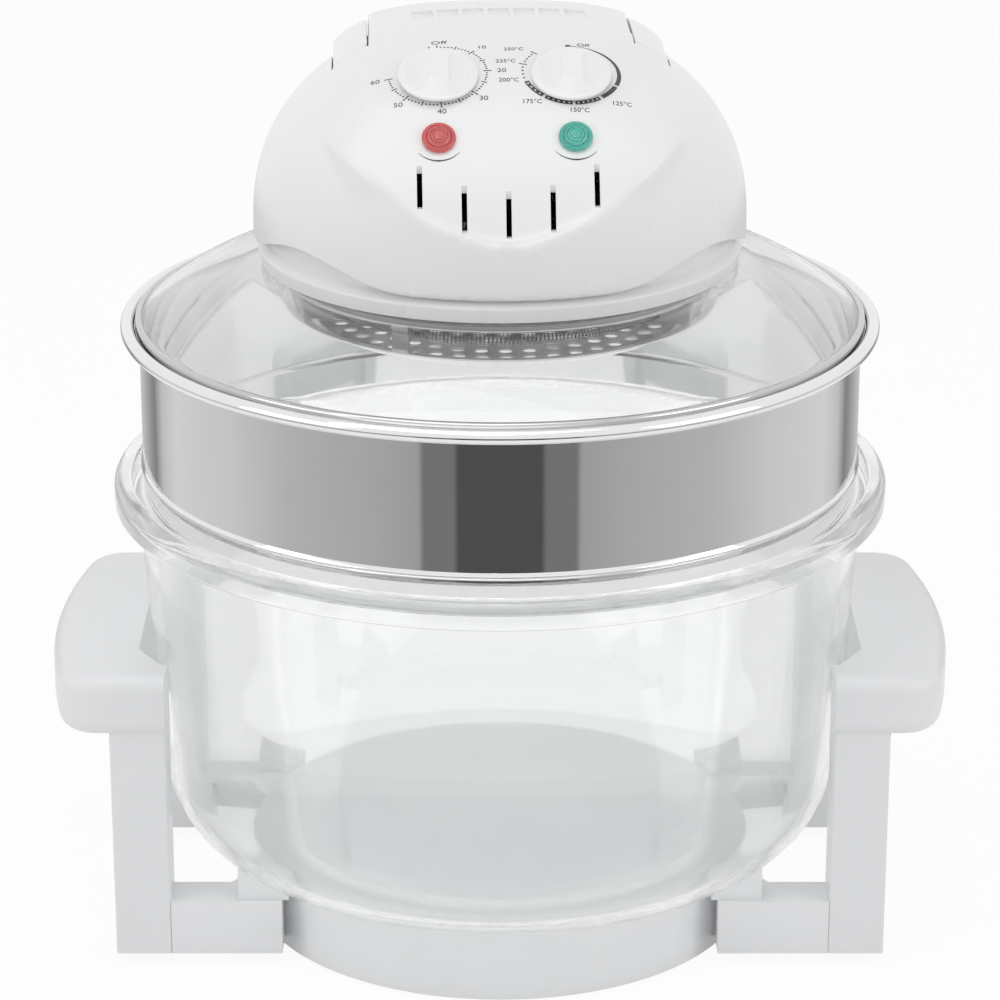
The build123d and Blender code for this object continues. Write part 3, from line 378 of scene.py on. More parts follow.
finish = {name: plastic(name) for name in plasticLook}
finish.update({name: metal(name) for name in metalLook})
finish["guard"] = guardMetal()
finish.update({name + "Glass": glass(name) for name in glassLook})
finish.update({name + "Lens": lens(name) for name in lensLook})
print("finishes ready:", len(finish))

nodeFinish = {
    "stand_base": "stand", "left_side_frame": "stand", "right_side_frame": "stand",
    "bowl_rest_pads": "stand", "stand_screws": "screw", "rubber_feet": "rubber",
    "glass_bowl": "bowlGlass", "extender_ring": "ring", "lid_glass": "lidGlass", "lid_rim": "rim",
    "glass_gaskets": "seal", "skirt_ring": "shell", "upper_housing": "shell",
    "power_lamp_lens": "redLens", "heat_lamp_lens": "greenLens", "lamp_holders": "black",
    "timer_body": "sheet", "thermostat_body": "ceramic", "thermostat_bulb": "sheet",
    "fan_motor": "core", "motor_bracket": "sheet", "heat_shield": "sheet", "reflector_pan": "bright",
    "halogen_tube": "tubeGlass", "tube_sockets": "ceramic", "tube_clips": "ceramic",
    "heater_guard": "guard", "guard_brackets": "sheet", "guard_screws": "screw", "head_screws": "screw",
    "safety_switch": "black", "terminal_block": "ceramic", "cord_inlet": "black", "handle_pins": "screw",
    "carry_handle": "shell", "timer_knob": "knob", "timer_shaft": "screw", "thermostat_knob": "knob",
    "thermostat_shaft": "screw", "motor_shaft": "screw", "cooling_fan": "bright",
    "convection_fan": "bright", "fan_nut": "screw", "switch_plunger": "black",
}
for nodeName, finishName in nodeFinish.items():
    mesh = frame["nodes"][nodeName].data
    mesh.materials.clear()
    mesh.materials.append(finish[finishName])
print("nodes painted")


# modelling helpers; their sizes are millimetres

mm = 0.001
bodyOf = {node: body for body, nodes in record["behaviour"]["bodies"].items() for node in nodes}


def drawChain(name, points, closed=False):  # leaves a chain of edges, all selected, in edit mode
    clearPick()
    bpy.ops.mesh.primitive_plane_add(size=mm, location=(0, 0, 0))
    piece = bpy.context.object
    piece.name = name
    bpy.ops.object.mode_set(mode="EDIT")
    bpy.ops.mesh.select_all(action="SELECT")
    bpy.ops.mesh.merge(type="CENTER")
    places = [Vector(point) * mm for point in points]
    bpy.ops.transform.translate(value=places[0])
    for here, there in zip(places, places[1:]):
        bpy.ops.mesh.extrude_vertices_move(TRANSFORM_OT_translate={"value": there - here})
    if closed:
        mesh = bmesh.from_edit_mesh(piece.data)
        mesh.verts.ensure_lookup_table()
        mesh.verts[0].select_set(True)
        bpy.ops.mesh.edge_face_add()
    bpy.ops.mesh.select_all(action="SELECT")
    return piece


def closeShell():  # from edit mode: one closed skin with its faces outwards
    bpy.ops.mesh.select_all(action="SELECT")
    bpy.ops.mesh.remove_doubles(threshold=0.000001)
    bpy.ops.mesh.normals_make_consistent(inside=False)
    bpy.ops.object.mode_set(mode="OBJECT")


def roundedLine(corners):  # corners are (across, up, rounding)
    line = []
    for index, (across, up, rounding) in enumerate(corners):
        here = Vector((across, up))
        if not rounding:
            line.append(here)
            continue
        before = (Vector(corners[index - 1][:2]) - here).normalized()
        after = (Vector(corners[(index + 1) % len(corners)][:2]) - here).normalized()
        half = before.angle(after) / 2
        centre = here + (before + after).normalized() * (rounding / math.sin(half))
        start = here + before * (rounding / math.tan(half)) - centre
        end = here + after * (rounding / math.tan(half)) - centre
        turn = math.pi - 2 * half
        steps = max(2, math.ceil(math.degrees(turn) / 12))
        for step in range(steps + 1):
            angle = turn * step / steps
            line.append(centre + (start * math.sin(turn - angle) + end * math.sin(angle)) / math.sin(turn))
    return line


def spaced(line, closed, gap):  # long runs get points between, so that they shade evenly
    ends = list(zip(line, line[1:])) + ([(line[-1], line[0])] if closed else [])
    points = []
    for here, there in ends:
        pieces = max(1, math.ceil((there - here).length / gap))
        points += [here.lerp(there, step / pieces) for step in range(pieces)]
    return points if closed else points + [line[-1]]


def turned(name, corners, steps=144, gap=7):
    closed = corners[0][0] > 0 or corners[-1][0] > 0
    line = spaced(roundedLine(corners), closed, gap)
    piece = drawChain(name, [(point.x, 0, point.y) for point in line], closed)
    bpy.ops.mesh.spin(steps=steps, angle=2 * math.pi, center=(0, 0, 0), axis=(0, 0, 1))
    closeShell()
    return piece


def slab(name, outline, push):
    piece = drawChain(name, outline, closed=True)
    bpy.ops.mesh.edge_face_add()
    bpy.ops.mesh.extrude_region_move(TRANSFORM_OT_translate={"value": Vector(push) * mm})
    closeShell()
    return piece


def brick(name, low, high):
    low = Vector(low) * mm
    high = Vector(high) * mm
    clearPick()
    bpy.ops.mesh.primitive_cube_add(size=1, location=(low + high) / 2)
    piece = bpy.context.object
    piece.name = name
    piece.scale = high - low
    bpy.ops.object.transform_apply(location=True, rotation=True, scale=True)
    return piece


def drum(name, radius, length, place, turn=(0, 0, 0), sides=64):
    clearPick()
    bpy.ops.mesh.primitive_cylinder_add(
        vertices=sides, radius=radius * mm, depth=length * mm,
        location=Vector(place) * mm, rotation=[math.radians(angle) for angle in turn],
    )
    piece = bpy.context.object
    piece.name = name
    bpy.ops.object.transform_apply(location=True, rotation=True, scale=True)
    return piece


def evened(piece, size, passes):  # an even skin whose edges are a little soft, as moulded ones are
    pick(piece)
    step = piece.modifiers.new("even", "REMESH")
    step.mode = "VOXEL"
    step.voxel_size = size * mm
    bpy.ops.object.modifier_apply(modifier=step.name)
    step = piece.modifiers.new("smooth", "SMOOTH")
    step.factor = 0.5
    step.iterations = passes
    bpy.ops.object.modifier_apply(modifier=step.name)
    return piece


def combine(piece, operation, *tools):
    pick(piece)
    for tool in tools:
        step = piece.modifiers.new("combine", "BOOLEAN")
        step.operation = operation
        step.solver = "MANIFOLD"
        step.object = tool
        bpy.ops.object.modifier_apply(modifier=step.name)
        bpy.data.objects.remove(tool)
    return piece


def twin(piece, name, size=(1, 1, 1)):  # a copy with its own mesh, mirrored where a size is -1
    pick(piece)
    bpy.ops.object.duplicate(linked=False)
    copy = bpy.context.object
    copy.name = name
    if size != (1, 1, 1):
        copy.scale = size
        bpy.ops.object.transform_apply(location=False, rotation=False, scale=True)
        bpy.ops.object.mode_set(mode="EDIT")
        closeShell()
    return copy


def merged(name, *pieces):
    clearPick()
    for piece in pieces:
        piece.select_set(True)
    bpy.context.view_layer.objects.active = pieces[0]
    bpy.ops.object.join()
    pieces[0].name = name
    return pieces[0]


def put(piece, matrix):
    pick(piece)
    piece.matrix_world = matrix
    bpy.ops.object.transform_apply(location=True, rotation=True, scale=True)
    return piece


def soften(piece, width, segments, angle):
    pick(piece)
    step = piece.modifiers.new("soften", "BEVEL")
    step.width = width * mm
    step.segments = segments
    step.limit_method = "ANGLE"
    step.angle_limit = math.radians(angle)
    bpy.ops.object.modifier_apply(modifier=step.name)
    return piece


def dress(piece, look, *nodes, angle=32, body=None, slot=None):  # finish, shading and what it stands for
    pick(piece)
    piece.data.materials.clear()
    piece.data.materials.append(finish[look])
    bpy.ops.object.shade_smooth_by_angle(angle=math.radians(angle))
    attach(piece, body or bodyOf[nodes[0]])
    if nodes:
        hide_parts(*nodes)
    return piece


# stand: its solids' own shapes with their edges rounded

stand = {
    "edge": 1.1, "steps": 3, "sharp": 40, "flat": 1.0,
    "nodes": ["stand_base", "left_side_frame", "right_side_frame", "bowl_rest_pads"],
}


def roundedCopy(node, edge):  # the node's own shape, with its sharp edges rounded
    first, *others = node.split("_")
    name = first + "".join(word.capitalize() for word in others)
    piece = bpy.data.objects.new(name, frame["nodes"][node].data.copy())
    bpy.context.scene.collection.objects.link(piece)
    pick(piece)
    bpy.ops.object.mode_set(mode="EDIT")
    bpy.ops.mesh.select_all(action="SELECT")
    bpy.ops.mesh.remove_doubles(threshold=0.00001)
    bpy.ops.mesh.dissolve_limited(angle_limit=math.radians(stand["flat"]))
    bpy.ops.object.mode_set(mode="OBJECT")
    if edge:
        soften(piece, edge, stand["steps"], stand["sharp"])
    return piece


for nodeName in stand["nodes"]:
    dress(roundedCopy(nodeName, stand["edge"]), "stand", nodeName)
print("stand done")


# bowl, extender ring, lid glass and its rim

bowl = {
    "bottom": 36.0, "top": 206.0, "wall": 4.5, "footRadius": 147.0, "corner": 40.0, "topRadius": 158.0,
    "flangeRadius": 168.3, "flangeHeight": 12.0, "recessRadius": 160.3, "ledgeRadius": 152.5, "ledge": 198.0,
}
ring = {
    "bottom": 198.3, "radius": 155.5, "sheet": 0.8, "footRadius": 157.5, "footHeight": 2.2,
    "lineHeight": 14.1, "lineDepth": 1.2, "lineHalf": 1.7, "ledge": 269.9, "collarRadius": 158.4,
    "beadRadius": 160.4, "beadTube": 3.0, "beadHeight": 273.3,
}
lid = {
    "turn": 2.15, "height": 301.7, "seat": 270.2, "rimInner": 153.2, "rimRadius": 157.0, "rimTop": 277.6,
    "glassRadius": 155.4, "glassWall": 4.0, "glassEdge": 272.7, "glassFlat": 104.0, "glassHole": 88.0,
    "glassBulge": 3.5,
}
lidPlace = Matrix.Translation((0, 0, lid["height"] * mm)) @ Matrix.Rotation(math.radians(lid["turn"]), 4, "Z")


def makeBowl():
    flange = bowl["top"] - bowl["flangeHeight"]
    inner = bowl["ledgeRadius"]
    piece = turned("glassBowl", [
        (0, bowl["bottom"], 0), (bowl["footRadius"], bowl["bottom"], bowl["corner"]),
        (bowl["topRadius"], flange - 2, 3), (bowl["flangeRadius"], flange, 2),
        (bowl["flangeRadius"], bowl["top"], 4), (bowl["recessRadius"], bowl["top"], 1.5),
        (bowl["recessRadius"], bowl["ledge"], 1), (inner, bowl["ledge"], 1.5), (inner - 1, flange - 6, 8),
        (bowl["footRadius"] - bowl["wall"], bowl["bottom"] + bowl["wall"], bowl["corner"] - bowl["wall"]),
        (0, bowl["bottom"] + bowl["wall"], 0),
    ], 160)
    dress(piece, "bowlGlass", "glass_bowl")


def makeRing():
    outer = ring["radius"]
    inner = outer - ring["sheet"]
    line = ring["bottom"] + ring["lineHeight"]
    half = ring["lineHalf"]
    collar = ring["collarRadius"]
    foot = ring["bottom"] + ring["footHeight"]
    band = turned("extenderRing", [
        (outer, foot, 0), (ring["footRadius"], foot, 1), (ring["footRadius"], ring["bottom"], 1),
        (inner, ring["bottom"], 0), (inner, line - half, 0), (inner + ring["lineDepth"], line, 1),
        (inner, line + half, 0), (inner, ring["ledge"], 0), (collar - ring["sheet"], ring["ledge"], 0),
        (collar - ring["sheet"], ring["beadHeight"], 0), (collar, ring["beadHeight"], 0),
        (collar, ring["ledge"] - ring["sheet"], 0), (outer, ring["ledge"] - ring["sheet"], 0),
        (outer, line + half, 0), (outer + ring["lineDepth"], line, 1), (outer, line - half, 0),
    ], 192)
    clearPick()
    bpy.ops.mesh.primitive_torus_add(
        major_radius=ring["beadRadius"] * mm, minor_radius=ring["beadTube"] * mm,
        major_segments=192, minor_segments=20, location=(0, 0, ring["beadHeight"] * mm),
    )
    combine(band, "UNION", bpy.context.object)
    dress(band, "ring", "extender_ring", angle=28)


def arcThrough(first, middle, last, steps):  # points on the circle through three points
    (ax, ay), (bx, by), (cx, cy) = first, middle, last
    double = 2 * (ax * (by - cy) + bx * (cy - ay) + cx * (ay - by))
    ux = ((ax**2 + ay**2) * (by - cy) + (bx**2 + by**2) * (cy - ay) + (cx**2 + cy**2) * (ay - by)) / double
    uy = ((ax**2 + ay**2) * (cx - bx) + (bx**2 + by**2) * (ax - cx) + (cx**2 + cy**2) * (bx - ax)) / double
    radius = math.hypot(ax - ux, ay - uy)
    start = math.atan2(ay - uy, ax - ux)
    end = math.atan2(cy - uy, cx - ux)
    angles = [start + (end - start) * step / steps for step in range(steps + 1)]
    return [(ux + radius * math.cos(angle), uy + radius * math.sin(angle), 0) for angle in angles]


def makeLidGlass():
    edge = lid["glassEdge"]
    top = edge + lid["glassWall"]
    flat = lid["height"]
    under = flat - lid["glassWall"]
    middle = (lid["glassRadius"] + lid["glassFlat"]) / 2
    height = (top + flat) / 2 + lid["glassBulge"]
    upper = arcThrough((lid["glassRadius"], top), (middle, height), (lid["glassFlat"], flat), 12)
    lower = arcThrough(
        (lid["glassFlat"], under), (middle - 1.2, height - lid["glassWall"]), (lid["glassRadius"] - 1.5, edge), 12
    )
    piece = turned("lidGlass", upper + [
        (lid["glassHole"], flat, 0), (lid["glassHole"], under, 0),
    ] + lower + [(lid["glassRadius"], edge, 0)], 160)
    dress(piece, "lidGlass", "lid_glass", angle=40)


def makeLidRim():
    glass = lid["glassRadius"] + 0.1
    low = lid["glassEdge"] - 0.1
    high = lid["glassEdge"] + lid["glassWall"] + 0.1
    piece = turned("lidRim", [
        (lid["rimInner"], lid["seat"], 0.6), (lid["rimRadius"], lid["seat"], 1.2),
        (lid["rimRadius"], lid["rimTop"], 1.2), (glass - 1.2, lid["rimTop"], 0.3), (glass - 1.2, high + 0.3, 0),
        (glass, high, 0), (glass, low, 0), (lid["rimInner"], low, 0),
    ], 192)
    dress(piece, "rim", "lid_rim", angle=28)


makeBowl()
makeRing()
makeLidGlass()
makeLidRim()
print("glass and steel done")


# head: housing, skirt and carry handle, heights above the lid glass's flat

head = {
    "radius": 105.4, "wall": 2.5, "foot": 9.8, "spring": 16.3, "top": 102.3, "flat": 30.0,
    "crownHalf": 75.0, "crownDrop": 34.0, "crownPower": 2.9, "panelFoot": 13.8, "panelRise": 88.5,
    "panelReach": 103.6, "panelBack": 72.0, "panelHalf": 74.5, "panelPlan": 104.0, "panelCorner": 40.0,
    "lip": [(0, 33.9), (27, 41.0), (43, 49.3), (56, 62.0), (65, 70.0), (71.5, 75.5)], "lipSteps": 6,
    "scallopRise": 10.9, "scallopHalf": 60.5, "scallopAngle": 54.0, "scallopSteps": 20, "scallopBelow": 6,
    "shoulder": 0.4, "insideHalf": 73.6, "grid": 1.35, "softening": 8,
}
vents = {  # tops and bottoms from the middle outwards
    "spacing": 17.9, "width": 2.2, "tops": [49.8, 52.0, 58.9], "bottoms": [35.5, 38.0, 46.8],
    "front": -120, "back": -80, "recess": 3.2, "recessDepth": 0.1, "overlap": 0.5,
}
louvres = {"count": 7, "pitch": 10.8, "width": 8.8, "length": 14.0, "depth": 1.0, "middle": 14.0, "top": 120}
handle = {
    "y": -3.0, "height": 88.5, "radius": 13.0, "innerX": 56.0, "outerX": 70.4, "gap": 0.6, "strap": 7.0,
    "bendY": 16.0, "strapReach": 94.0, "gripInner": 110.0, "gripThick": 12.0, "gripBottom": 47.0,
    "gripTop": 63.0, "gripEdge": 4.0, "gripStart": 20,
    "grid": 1.1, "softening": 6,
}
dome = {"belly": 2.3, "shoulder": 2.2, "cap": 7, "steps": 24, "sides": 176, "gap": 6, "catch": 0.01}
plan = {"low": 5, "cornerSteps": 10, "edgeSteps": 20}
crown = {"half": 74.4, "across": 22, "front": 32, "along": 5, "behind": 28}  # half width, then steps
beyond = {"front": 210, "back": 150, "top": 200, "plan": 130}  # places well past the head, for cutting
cam = {"innerX": 57.3, "outerX": 63.7, "reach": 26.0, "over": 2.5, "radius": 9.6, "offset": 3.0, "length": 8}
skirt = {"steps": 160, "line": [
    (101.3, 0.3, 0), (102.5, 0.3, 0.4), (103.8, 6.5, 1.6), (99.6, 11.0, 5), (99.6, 22.0, 0), (97.2, 22.0, 0),
    (97.2, 5.4, 0), (74.0, 5.4, 0), (74.0, 3.0, 0), (89.0, 3.0, 0), (89.0, 1.2, 0), (101.3, 1.2, 0),
]}
inlet = {"half": 13.1, "bottom": 25.9, "top": 42.1, "near": 85, "far": 120}


def crownShare(x):
    across = (abs(x) / head["crownHalf"]) ** head["crownPower"]
    return 1 - head["crownDrop"] * (1 - (1 - across) ** (1 / head["crownPower"])) / head["panelRise"]


def panelHeight(x, y):
    return head["panelFoot"] + head["panelRise"] * crownShare(x) * math.sqrt(1 - (y / head["panelReach"]) ** 2)


def crownedSolid(name, reach, rise, flat, back):  # a side view pushed across and lowered towards both ends
    foot = head["panelFoot"]
    across, front, along, behind = (crown[key] for key in ("across", "front", "along", "behind"))
    xs = [crown["half"] * math.sin(math.radians(90 * step / across)) for step in range(-across, across + 1)]
    tall = rise * crownShare(xs[0])
    side = []
    for step in range(front + 1):
        angle = math.radians(90 * step / front)
        side.append((xs[0], -reach * math.cos(angle), foot + tall * math.sin(angle)))
    side += [(xs[0], flat * step / along, foot + tall) for step in range(1, along + 1)]
    for step in range(1, behind + 1):
        angle = math.radians(90 * step / behind)
        side.append((xs[0], flat + back * math.sin(angle), foot + tall * math.cos(angle)))
    piece = drawChain(name, side, closed=True)
    bpy.ops.mesh.edge_face_add()
    for here, there in zip(xs, xs[1:]):
        bpy.ops.mesh.extrude_region_move(TRANSFORM_OT_translate={"value": ((there - here) * mm, 0, 0)})
        bpy.ops.transform.resize(
            value=(1, 1, crownShare(there) / crownShare(here)), center_override=(there * mm, 0, foot * mm)
        )
    closeShell()
    return piece


def panelCrown(name, inset):
    return crownedSolid(
        name, head["panelReach"] - inset, head["panelRise"] - inset, head["flat"], head["panelBack"] - inset
    )


def strapCrown(name, inset):
    return crownedSolid(
        name, head["panelReach"], head["panelRise"] - inset, handle["bendY"], handle["strapReach"] - inset
    )


def domeSolid(name, inset):
    shrink = 1 - inset / head["radius"]
    spring = head["spring"]
    line = [(0, head["foot"] - inset, 0), (head["radius"] * shrink, head["foot"] - inset, 0)]
    rings = []
    for step in range(dome["steps"] + 1):
        height = spring + (head["top"] - dome["cap"] - spring) * step / dome["steps"]
        climb = (height - spring) / (head["top"] - spring)
        radius = head["radius"] * (1 - climb ** dome["belly"]) ** (1 / dome["shoulder"]) * shrink
        rings.append((radius, height - climb * inset))
        line.append((*rings[-1], 0))
    line.append((0, line[-1][1], 0))
    piece = turned(name, line, dome["sides"], dome["gap"])
    pick(piece)
    bpy.ops.object.mode_set(mode="EDIT")
    for radius, height in rings[1:]:  # the front leans less than the sides
        bpy.ops.mesh.select_all(action="DESELECT")
        mesh = bmesh.from_edit_mesh(piece.data)
        for vert in mesh.verts:
            place = vert.co / mm
            onRing = abs(place.z - height) < dome["catch"] and place.xy.length > radius * (1 - dome["catch"])
            vert.select_set(onRing and place.y < -dome["catch"])
        mesh.select_flush(True)
        bpy.ops.transform.resize(
            value=(1, head["radius"] * shrink / radius, 1), center_override=(0, 0, height * mm)
        )
    closeShell()
    return piece


def planOutline(inset):  # the panel seen from above: wide before the hubs, narrow behind them
    half = head["panelHalf"] - inset
    big = head["panelPlan"] - inset
    corner = head["panelCorner"] - inset
    middle = Vector((half - corner, -math.sqrt((big - corner) ** 2 - (half - corner) ** 2)))
    low = math.atan2(middle.y, middle.x)
    right = []
    for step in range(plan["cornerSteps"] + 1):
        angle = low * step / plan["cornerSteps"]
        right.append((middle.x + corner * math.cos(angle), middle.y + corner * math.sin(angle)))
    for step in range(1, plan["edgeSteps"] + 1):
        angle = low + (-math.pi / 2 - low) * step / plan["edgeSteps"]
        right.append((big * math.cos(angle), big * math.sin(angle)))
    back = handle["innerX"] - handle["gap"] - inset
    right = [(back, beyond["back"]), (back, handle["y"]), (half, handle["y"])] + right
    left = [(-x, y) for x, y in reversed(right[:-1])]
    return [(x, y, plan["low"]) for x, y in right + left]


def panelSolid(name, inset):
    return combine(
        panelCrown(name, inset), "INTERSECT", slab("plan", planOutline(inset), (0, 0, beyond["plan"]))
    )


def lipSolid():  # what is cut off the dome above the apron's lip
    line = head["lip"]
    points = [(-x, z) for x, z in reversed(line[1:])] + line
    smooth = []
    for index in range(len(points) - 1):
        before = Vector(points[max(0, index - 1)])
        first = Vector(points[index])
        last = Vector(points[index + 1])
        after = Vector(points[min(len(points) - 1, index + 2)])
        curve = [first, first + (last - before) / 6, last - (after - first) / 6, last]
        for step in range(head["lipSteps"]):
            share = step / head["lipSteps"]
            weights = [(1 - share) ** 3, 3 * share * (1 - share) ** 2, 3 * share ** 2 * (1 - share), share ** 3]
            smooth.append(sum((point * weight for point, weight in zip(curve, weights)), Vector((0, 0))))
    outline = [(point.x, 0, point.y) for point in smooth] + [(line[-1][0], 0, line[-1][1])]
    outline += [(line[-1][0], 0, beyond["top"]), (-line[-1][0], 0, beyond["top"])]
    piece = slab("lipSolid", outline, (0, -beyond["front"], 0))
    return combine(piece, "DIFFERENCE", panelCrown("under", head["shoulder"]))


def handleSpace(name, grow, lower):  # room for one hub and the strap behind it
    radius = handle["radius"] + handle["gap"] + grow
    near = handle["innerX"] - handle["gap"] - grow
    far = handle["outerX"] + handle["gap"] + grow
    y = handle["y"]
    room = drum(name, radius, far - near, ((near + far) / 2, y, handle["height"]), (0, 90, 0), 72)
    groove = brick("groove", (near, y, 0), (far, beyond["top"], beyond["top"]))
    combine(groove, "DIFFERENCE", strapCrown("underStrap", lower))
    corner = brick("corner", (near, y - radius, handle["height"]), (far, y, beyond["top"]))
    return combine(room, "UNION", corner, groove)


def scallopSolid():
    foot = head["foot"]
    half = head["scallopHalf"]
    count = head["scallopSteps"]
    bell = []
    for step in range(-count, count + 1):
        share = 1 - abs(step) / count
        bell.append((half / 2, half * step / count, foot + head["scallopRise"] * share ** 2 * (3 - 2 * share)))
    low = foot - head["scallopBelow"]
    bell += [(half / 2, half, low), (half / 2, -half, low)]
    piece = slab("scallop", bell, (2 * half, 0, 0))
    return put(piece, Matrix.Rotation(math.radians(head["scallopAngle"] - 90), 4, "Z"))


def scallopCuts():
    first = scallopSolid()
    return [twin(first, "scallop", size) for size in [(-1, 1, 1), (1, -1, 1), (-1, -1, 1)]] + [first]


def ventCuts():  # the front slots, each with a shallow recess over it
    cuts = []
    half = vents["width"] / 2
    for column in range(-2, 3):
        x = column * vents["spacing"]
        low = vents["bottoms"][abs(column)]
        high = vents["tops"][abs(column)]
        cuts.append(brick("vent", (x - half, vents["front"], low), (x + half, vents["back"], high)))
        top = high + vents["recess"]
        rise = (top - head["panelFoot"]) / (head["panelRise"] * crownShare(x))
        deep = vents["recessDepth"] - head["panelReach"] * math.sqrt(1 - rise ** 2)
        start = high - vents["overlap"]
        cuts.append(brick("recess", (x - half, vents["front"], start), (x + half, deep, top)))
    return cuts


def louvreCuts():
    cuts = []
    half = louvres["width"] / 2
    long = louvres["length"] / 2
    y = louvres["middle"]
    for index in range(louvres["count"]):
        x = (index - (louvres["count"] - 1) / 2) * louvres["pitch"]
        floor = panelHeight(x, 0) - louvres["depth"]
        cuts.append(brick("louvre", (x - half, y - long, floor), (x + half, y + long, louvres["top"])))
    return cuts


def inletCut():
    half = inlet["half"]
    return brick("inletHole", (-half, inlet["near"], inlet["bottom"]), (half, inlet["far"], inlet["top"]))


def makeHousing():
    outer = combine(domeSolid("upperHousing", 0), "DIFFERENCE", lipSolid())
    combine(outer, "UNION", panelSolid("panel", 0))
    evened(outer, head["grid"], head["softening"])
    thick = head["wall"]
    inner = domeSolid("inside", thick)
    side = head["insideHalf"]
    above = brick("above", (-side, -beyond["front"], head["panelFoot"]), (side, 0, beyond["front"]))
    combine(above, "DIFFERENCE", panelCrown("underInside", thick + head["shoulder"]))
    combine(inner, "DIFFERENCE", above)
    combine(inner, "UNION", panelSolid("insidePanel", thick))
    walls = handleSpace("pocketWalls", thick, handle["strap"] + handle["gap"] + thick)
    combine(walls, "INTERSECT", twin(outer, "outerCopy"))
    otherWalls = twin(walls, "otherWalls", (-1, 1, 1))
    combine(outer, "DIFFERENCE", inner)
    combine(outer, "UNION", walls, otherWalls)
    space = handleSpace("pocket", 0, handle["strap"] + handle["gap"])
    combine(outer, "DIFFERENCE", twin(space, "otherPocket", (-1, 1, 1)), space)
    combine(outer, "DIFFERENCE", *ventCuts(), *louvreCuts(), *scallopCuts(), inletCut())
    put(outer, lidPlace)
    return dress(outer, "shell", "upper_housing", angle=40)


def camRoom():  # what is cut from the right hub, so that only its cam meets the plunger
    y = handle["y"]
    high = handle["height"]
    near = (cam["innerX"], y - cam["reach"], high - cam["reach"])
    room = brick("camRoom", near, (cam["outerX"], y, high + cam["over"]))
    middle = ((cam["innerX"] + cam["outerX"]) / 2, y, high - cam["offset"])
    return combine(room, "DIFFERENCE", drum("cam", cam["radius"], cam["length"], middle, (0, 90, 0)))


def makeHandle():
    y = handle["y"]
    near = handle["innerX"]
    far = handle["outerX"]
    high = handle["height"]
    over = strapCrown("over", 0)
    under = strapCrown("under", handle["strap"])
    hub = drum("carryHandle", handle["radius"], far - near, ((near + far) / 2, y, high), (0, 90, 0), 72)
    combine(hub, "INTERSECT", twin(over, "overCopy"))
    middle = (handle["gripBottom"] + handle["gripTop"]) / 2
    strap = combine(brick("strap", (near, y, middle), (far, beyond["top"], beyond["top"])), "INTERSECT", over)
    combine(strap, "DIFFERENCE", under)
    combine(hub, "UNION", strap)
    other = twin(hub, "otherHub", (-1, 1, 1))
    inner = handle["gripInner"]
    outer = inner + handle["gripThick"]
    edge = handle["gripEdge"]
    low = handle["gripBottom"]
    top = handle["gripTop"]
    grip = turned("grip", [(inner, low, edge), (outer, low, edge), (outer, top, edge), (inner, top, edge)], 144, 5)
    combine(grip, "INTERSECT", brick("gripBox", (-far, handle["gripStart"], 0), (far, beyond["top"], beyond["top"])))
    combine(hub, "UNION", other, grip)
    evened(hub, handle["grid"], handle["softening"])
    combine(hub, "DIFFERENCE", camRoom())
    put(hub, lidPlace)
    dress(hub, "shell", "carry_handle", angle=40)


def makeSkirt():
    piece = turned("skirtRing", skirt["line"], skirt["steps"])
    put(piece, lidPlace)
    dress(piece, "shell", "skirt_ring")


housing = makeHousing()
makeHandle()
makeSkirt()
print("head done")


# knobs, lamps and the marks round them

knob = {
    "x": 27.3, "y": -52.0, "radius": 16.6, "lift": 0.6, "rim": 2.1, "height": 6.4, "coneFoot": 15.2,
    "coneTop": 8.4, "barHalf": 4.2, "scoopRadius": 7.0, "scoopFloor": 2.3,
}
lamp = {"x": 27.7, "y": -78.6, "line": [
    (5.3, -6.0, 0), (5.3, 0.2, 0), (6.9, 0.2, 0.2), (6.9, 1.0, 0.3), (6.1, 1.5, 0), (5.35, 1.75, 0),
    (5.05, 1.25, 0), (4.7, 1.95, 0.1), (3.75, 2.5, 0), (3.5, 2.2, 0), (3.2, 2.65, 0.1), (2.4, 2.95, 0),
    (2.2, 2.65, 0), (1.95, 3.0, 0.1), (1.0, 3.15, 0), (0.7, 3.0, 0), (0.4, 3.2, 0.1),
]}
marks = {
    "middle": 3.4, "squash": 0.94, "radius": 20.1, "dot": 0.4, "hole": 0.42, "tick": 0.5, "text": 3.5,
    "raise": 0.05, "thick": 0.04, "minute": 4.43, "lampArc": 10.6, "lampArcHalf": 52, "lampLine": 0.75,
}
timerScale = {  # a tick is how far it reaches in and out; a place is an angle and a distance
    "minutes": 60, "longTick": (1.5, 1.9), "shortTick": (1.2, 1.2), "before": -9, "beforeTick": (1.3, 1.3),
    "numbers": {10: 26.4, 20: 26.2, 30: 25.0, 40: 24.0, 50: 25.0, 60: 25.8}, "wide": 1.12,
    "off": (2, 24.2), "offSize": 1.1, "offWide": 1.3,
}
heatScale = {
    "inset": 0.4, "half": (0.9, 1.0), "startDot": 1.25, "start": (-1, 0.3), "wedge": (3, 112), "full": (115, 142),
    "bands": [(146, 177, 5), (180.5, 214, 5), (218, 250, 4)],  # start, end, light dots
    "dots": (257, 264, 271, 278, 290.5, 296.5, 302.5, 308), "ticks": (284.5, 313), "tick": (1.2, 2.2),
    "numbers": {
        "250°C": (306.5, 28.6), "225°C": (285.5, 27.6), "200°C": (257, 26.4), "175°C": (221, 25.4),
        "150°C": (174, 23.8), "125°C": (133, 27.4),
    },
    "size": 0.92, "off": (15.5, 22.4), "offWide": 1.15,
}


def seatOf(x, y):  # a plane that touches the panel, its Z pointing out of it
    height = panelHeight(0, y)
    slope = math.atan2(-y / head["panelReach"] ** 2, (height - head["panelFoot"]) / head["panelRise"] ** 2)
    return lidPlace @ Matrix.Translation(Vector((x, y, height)) * mm) @ Matrix.Rotation(slope, 4, "X")


